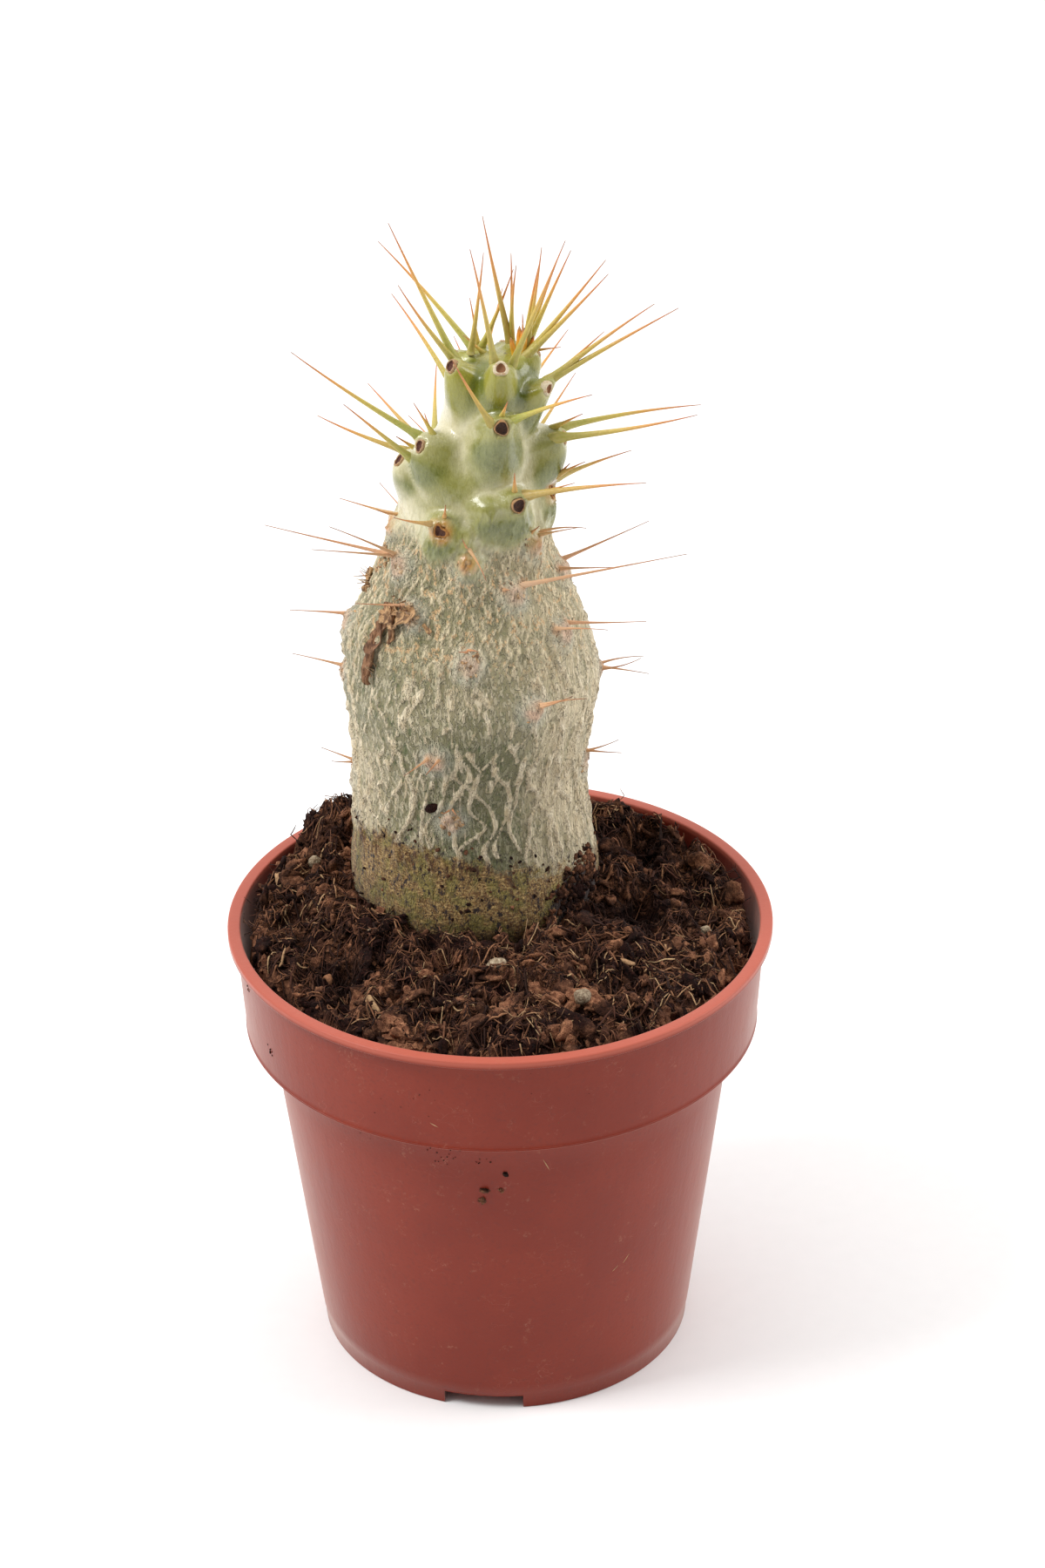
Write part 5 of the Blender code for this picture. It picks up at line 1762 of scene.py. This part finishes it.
def add_crumbs(name, spots, sizes, detail, seed, material, tones, slot="soil", **shape):
    """A piece made of crumbs, one at each spot."""
    points, faces, each = crumbs(spots, sizes, detail, random.Random(seed), **shape)
    mesh = make_mesh(name, points, faces, tone=np.repeat(tones, each))
    add_piece(name, mesh, material)


def scatter_crumbs(tree, stem, material):
    """Small crumbs all over the soil, and clods among them."""
    draw = random.Random(71)
    for name, count, low, high, detail in SOIL_CRUMBS:
        spots = random_spots(tree, stem, count, draw, high * 0.9)
        sizes = np.array([low + (high - low) * draw.random() ** 2 for _ in range(count)])
        spots[:, 2] += sizes * 0.15
        tones = np.array([draw.random() ** 1.3 for _ in range(count)])
        # Painted shade: crumbs in the soil's pits are darker
        tones *= 1.0 - pit_shade(spots[:, 0], spots[:, 1])
        add_crumbs(name, spots, sizes, detail, 72 + detail, material, tones,
                   shape=(1.15, 0.75, 0.42), lumpiness=0.95)


def usual_or_rare(draw, share, usual, rare):
    """A number from the usual range, or else from a rarer one."""
    return draw.uniform(*(usual if draw.random() < share else rare))


def fibre_path(tree, x, y, draw):
    """The course of a fibre over the soil, a little curled and at times with a raised end."""
    length = usual_or_rare(draw, 0.9, (1.5, 6.0), (6.0, 14.0)) / FIBRE_STEPS
    course = draw.uniform(0.0, 2.0 * math.pi)
    curl = draw.uniform(-1.2, 1.2) / FIBRE_STEPS
    rise = draw.uniform(0.2, 1.5)
    kick = draw.uniform(0.0, 2.2) if draw.random() < 0.3 else 0.0
    limit = inner_radius(POT_HEIGHT) - 0.6
    path = []
    for step in range(FIBRE_STEPS):
        z = land(tree, x, y)
        if z is None:
            z = path[-1][2] - rise if path else SOIL_LEVEL
        path.append((x, y, z + rise + kick * (step / FIBRE_STEPS) ** 2))
        course += curl + draw.uniform(-0.25, 0.25)
        x += math.cos(course) * length
        y += math.sin(course) * length
        reach = math.hypot(x, y) / limit
        if reach > 1.0:
            x, y = x / reach, y / reach
    return path


def scatter_fibres(tree, stem, material):
    """Root and bark fibres that lie over the soil, some with an end in the air."""
    draw = random.Random(81)
    paths, radii, tones = [], [], []
    for x, y, _ in random_spots(tree, stem, FIBRE_COUNT, draw, 3.0):
        path = fibre_path(tree, x, y, draw)
        size = usual_or_rare(draw, 0.9, (0.08, 0.2), (0.2, 0.36))
        paths.append(path)
        radii.append([size * share for share in FIBRE_TAPER])
        # Painted shade: fibres that start in the soil's pits are darker
        tones.append(draw.random() ** 1.9 * (1.0 - 0.9 * float(pit_shade(*path[0][:2]))))
    twist = np.array([draw.uniform(0, 3) for _ in paths])
    points, faces = tubes(paths, radii, FIBRE_SIDES, flatness=0.7, twist=twist[:, None])
    tones = np.repeat(tones, FIBRE_STEPS * FIBRE_SIDES)
    add_piece("soil_fibres", make_mesh("soil_fibres", points, faces, tone=tones), material)


def add_pebbles(tree):
    """Pebbles and grains of grit that lie on the soil."""
    spots = [(x, y, land(tree, x, y) + 0.9 * size) for x, y, size, _ in PEBBLES]
    sizes = [size for _, _, size, _ in PEBBLES]
    tones = [tone for *_, tone in PEBBLES]
    add_crumbs("pebbles", spots, sizes, 3, 92, stone_material(), tones,
               shape=(1.1, 0.95, 0.75), lumpiness=0.3)


def add_chips_and_roots(tree, fibre):
    """Bark chips on the soil, and a few roots that stand out of it."""
    draw = random.Random(91)
    share = np.linspace(0.0, 1.0, CHIP_STEPS)
    paths, radii, tones = [], [], []
    for x, y, course, length in CHIPS:
        path = np.array([x, y, 0.0]) + heading(course) * ((share - 0.5) * length)[:, None]
        path[:, 2] = [land(tree, px, py) + 1.1 for px, py, _ in path]
        paths.append(path)
        radii.append(0.62 * (1.0 - (2.0 * share - 1.0) ** 4) + 0.15)
        tones.append(draw.uniform(0.75, 0.95))
    for x, y, course, reach, rise in STANDING_ROOTS:
        foot = np.array([x, y, land(tree, x, y) - 0.5])
        path = foot + heading(course) * (share ** 1.6 * reach)[:, None]
        path[:, 2] += rise * share
        paths.append(path + 0.35 * np.sin(share * 9.0)[:, None] * heading(course + 90.0))
        radii.append(0.2 - 0.1 * share)
        tones.append(draw.uniform(0.5, 0.8))
    twist = np.array([draw.uniform(0, 3) for _ in paths])
    points, faces = tubes(paths, radii, CHIP_SIDES, flatness=0.6, twist=twist[:, None])
    mesh = make_mesh("chips_and_roots", points, faces,
                     tone=np.repeat(tones, CHIP_STEPS * CHIP_SIDES))
    add_piece("chips_and_roots", mesh, fibre)


def add_pot_dirt(material):
    """Specks of soil stuck to the pot."""
    draw = random.Random(95)
    spots, sizes = [], []
    for compass, height, spread, size, count in POT_DIRT:
        for _ in range(count):
            turn = compass + draw.gauss(0.0, spread)
            level = height + draw.gauss(0.0, 0.6 * spread)
            spots.append(heading(turn) * outer_radius(level) + np.array([0.0, 0.0, level]))
            sizes.append(size * draw.uniform(0.5, 1.1))
    tones = [draw.uniform(0.0, 0.4) for _ in spots]
    add_crumbs("pot_dirt", spots, sizes, 2, 96, material, tones, slot="pot",
               shape=(1.0, 0.6, 0.4))


def add_pot_scratches(fibre):
    """Pale scratches in the pot's wall."""
    share = np.linspace(0.0, 1.0, 5)
    paths = []
    for compass, height, slant, length in POT_SCRATCHES:
        slant = math.radians(slant)
        level = height + math.cos(slant) * length * (share - 0.5)
        turn = compass + math.degrees(math.sin(slant) * length / WALL_TOP_RADIUS) * share
        outside = np.array([outer_radius(z) for z in level]) - 0.02
        path = heading(turn) * outside[:, None]
        path[:, 2] = level
        paths.append(path)
    radii = np.tile(0.1 * np.sin(np.pi * (0.1 + 0.8 * share)), (len(paths), 1))
    points, faces = tubes(paths, radii, 4)
    mesh = make_mesh("pot_scratches", points, faces, tone=[1.0] * len(points))
    add_piece("pot_scratches", mesh, fibre)


# Scene


def add_camera():
    """The camera of the photograph."""
    pitch, yaw, roll = (math.radians(angle) for angle in (CAMERA_PITCH, CAMERA_YAW, CAMERA_ROLL))
    forward = Vector((math.sin(yaw) * math.cos(pitch), math.cos(yaw) * math.cos(pitch),
                      -math.sin(pitch)))
    level = forward.cross(Vector((0.0, 0.0, 1.0))).normalized()
    upright = level.cross(forward)
    right = level * math.cos(roll) + upright * math.sin(roll)
    up = upright * math.cos(roll) - level * math.sin(roll)
    data = bpy.data.cameras.new("camera")
    data.lens = CAMERA_LENS
    data.sensor_width = CAMERA_SENSOR
    data.clip_start = 0.01
    camera = new_object("camera", data)
    turn = Matrix((right, up, -forward)).transposed().to_4x4()
    camera.matrix_world = Matrix.Translation(Vector(CAMERA_PLACE) * MM) @ turn
    bpy.context.scene.camera = camera


def add_light(name, place, size, power):
    """A square softbox that looks at the stem."""
    data = bpy.data.lights.new(name, "AREA")
    data.size = size
    data.energy = power
    light = new_object(name, data)
    light.location = place
    aim = Vector(LIGHT_AIM) - light.location
    light.rotation_euler = aim.to_track_quat("-Z", "Y").to_euler()


def add_room():
    """A white room that is a little darker in front."""
    world = bpy.data.worlds.new("studio")
    bpy.context.scene.world = world
    world.use_nodes = True
    tree = world.node_tree
    place = tree.nodes.new("ShaderNodeTexCoord")
    facing = tree.nodes.new("ShaderNodeVectorMath")
    facing.operation = "DOT_PRODUCT"
    facing.inputs[1].default_value = ROOM_BRIGHT_SIDE
    span = tree.nodes.new("ShaderNodeMapRange")
    span.interpolation_type = "SMOOTHSTEP"
    tree.links.new(place.outputs["Generated"], facing.inputs[0])
    tree.links.new(facing.outputs["Value"], span.inputs[0])
    for socket, value in zip((1, 2, 3, 4), ROOM_RANGE):
        span.inputs[socket].default_value = value
    tree.links.new(span.outputs[0], tree.nodes["Background"].inputs["Strength"])
    tree.nodes["Background"].inputs["Color"].default_value = ROOM_COLOUR


def add_floor():
    """White paper under the pot."""
    bm = bmesh.new()
    bmesh.ops.create_grid(bm, x_segments=8, y_segments=8, size=FLOOR_REACH)
    mesh = bpy.data.meshes.new("floor")
    bm.to_mesh(mesh)
    bm.free()
    mesh.materials.append(floor_material())
    new_object("floor", mesh)


def add_surroundings():
    """The room, its softboxes and the floor."""
    add_room()
    for softbox in SOFTBOXES:
        add_light(*softbox)
    bpy.context.scene.view_settings.view_transform = "Standard"
    add_floor()


def main():
    """Builds the object from the pot up, then what stands around it."""
    stem = Stem()
    soil = soil_material()
    fibre = fibre_material()
    build_pot()
    build_stem(stem)
    build_scars(stem)
    build_spines(stem)
    build_bud()
    build_dry_leaf(stem)
    build_bristles(stem)
    add_flakes(stem)
    add_bark_soil(stem, soil)
    tree = build_soil(stem, soil)
    scatter_crumbs(tree, stem, soil)
    scatter_fibres(tree, stem, fibre)
    add_pebbles(tree)
    add_chips_and_roots(tree, fibre)
    add_pot_dirt(soil)
    add_pot_scratches(fibre)
    add_camera()
    add_surroundings()


main()
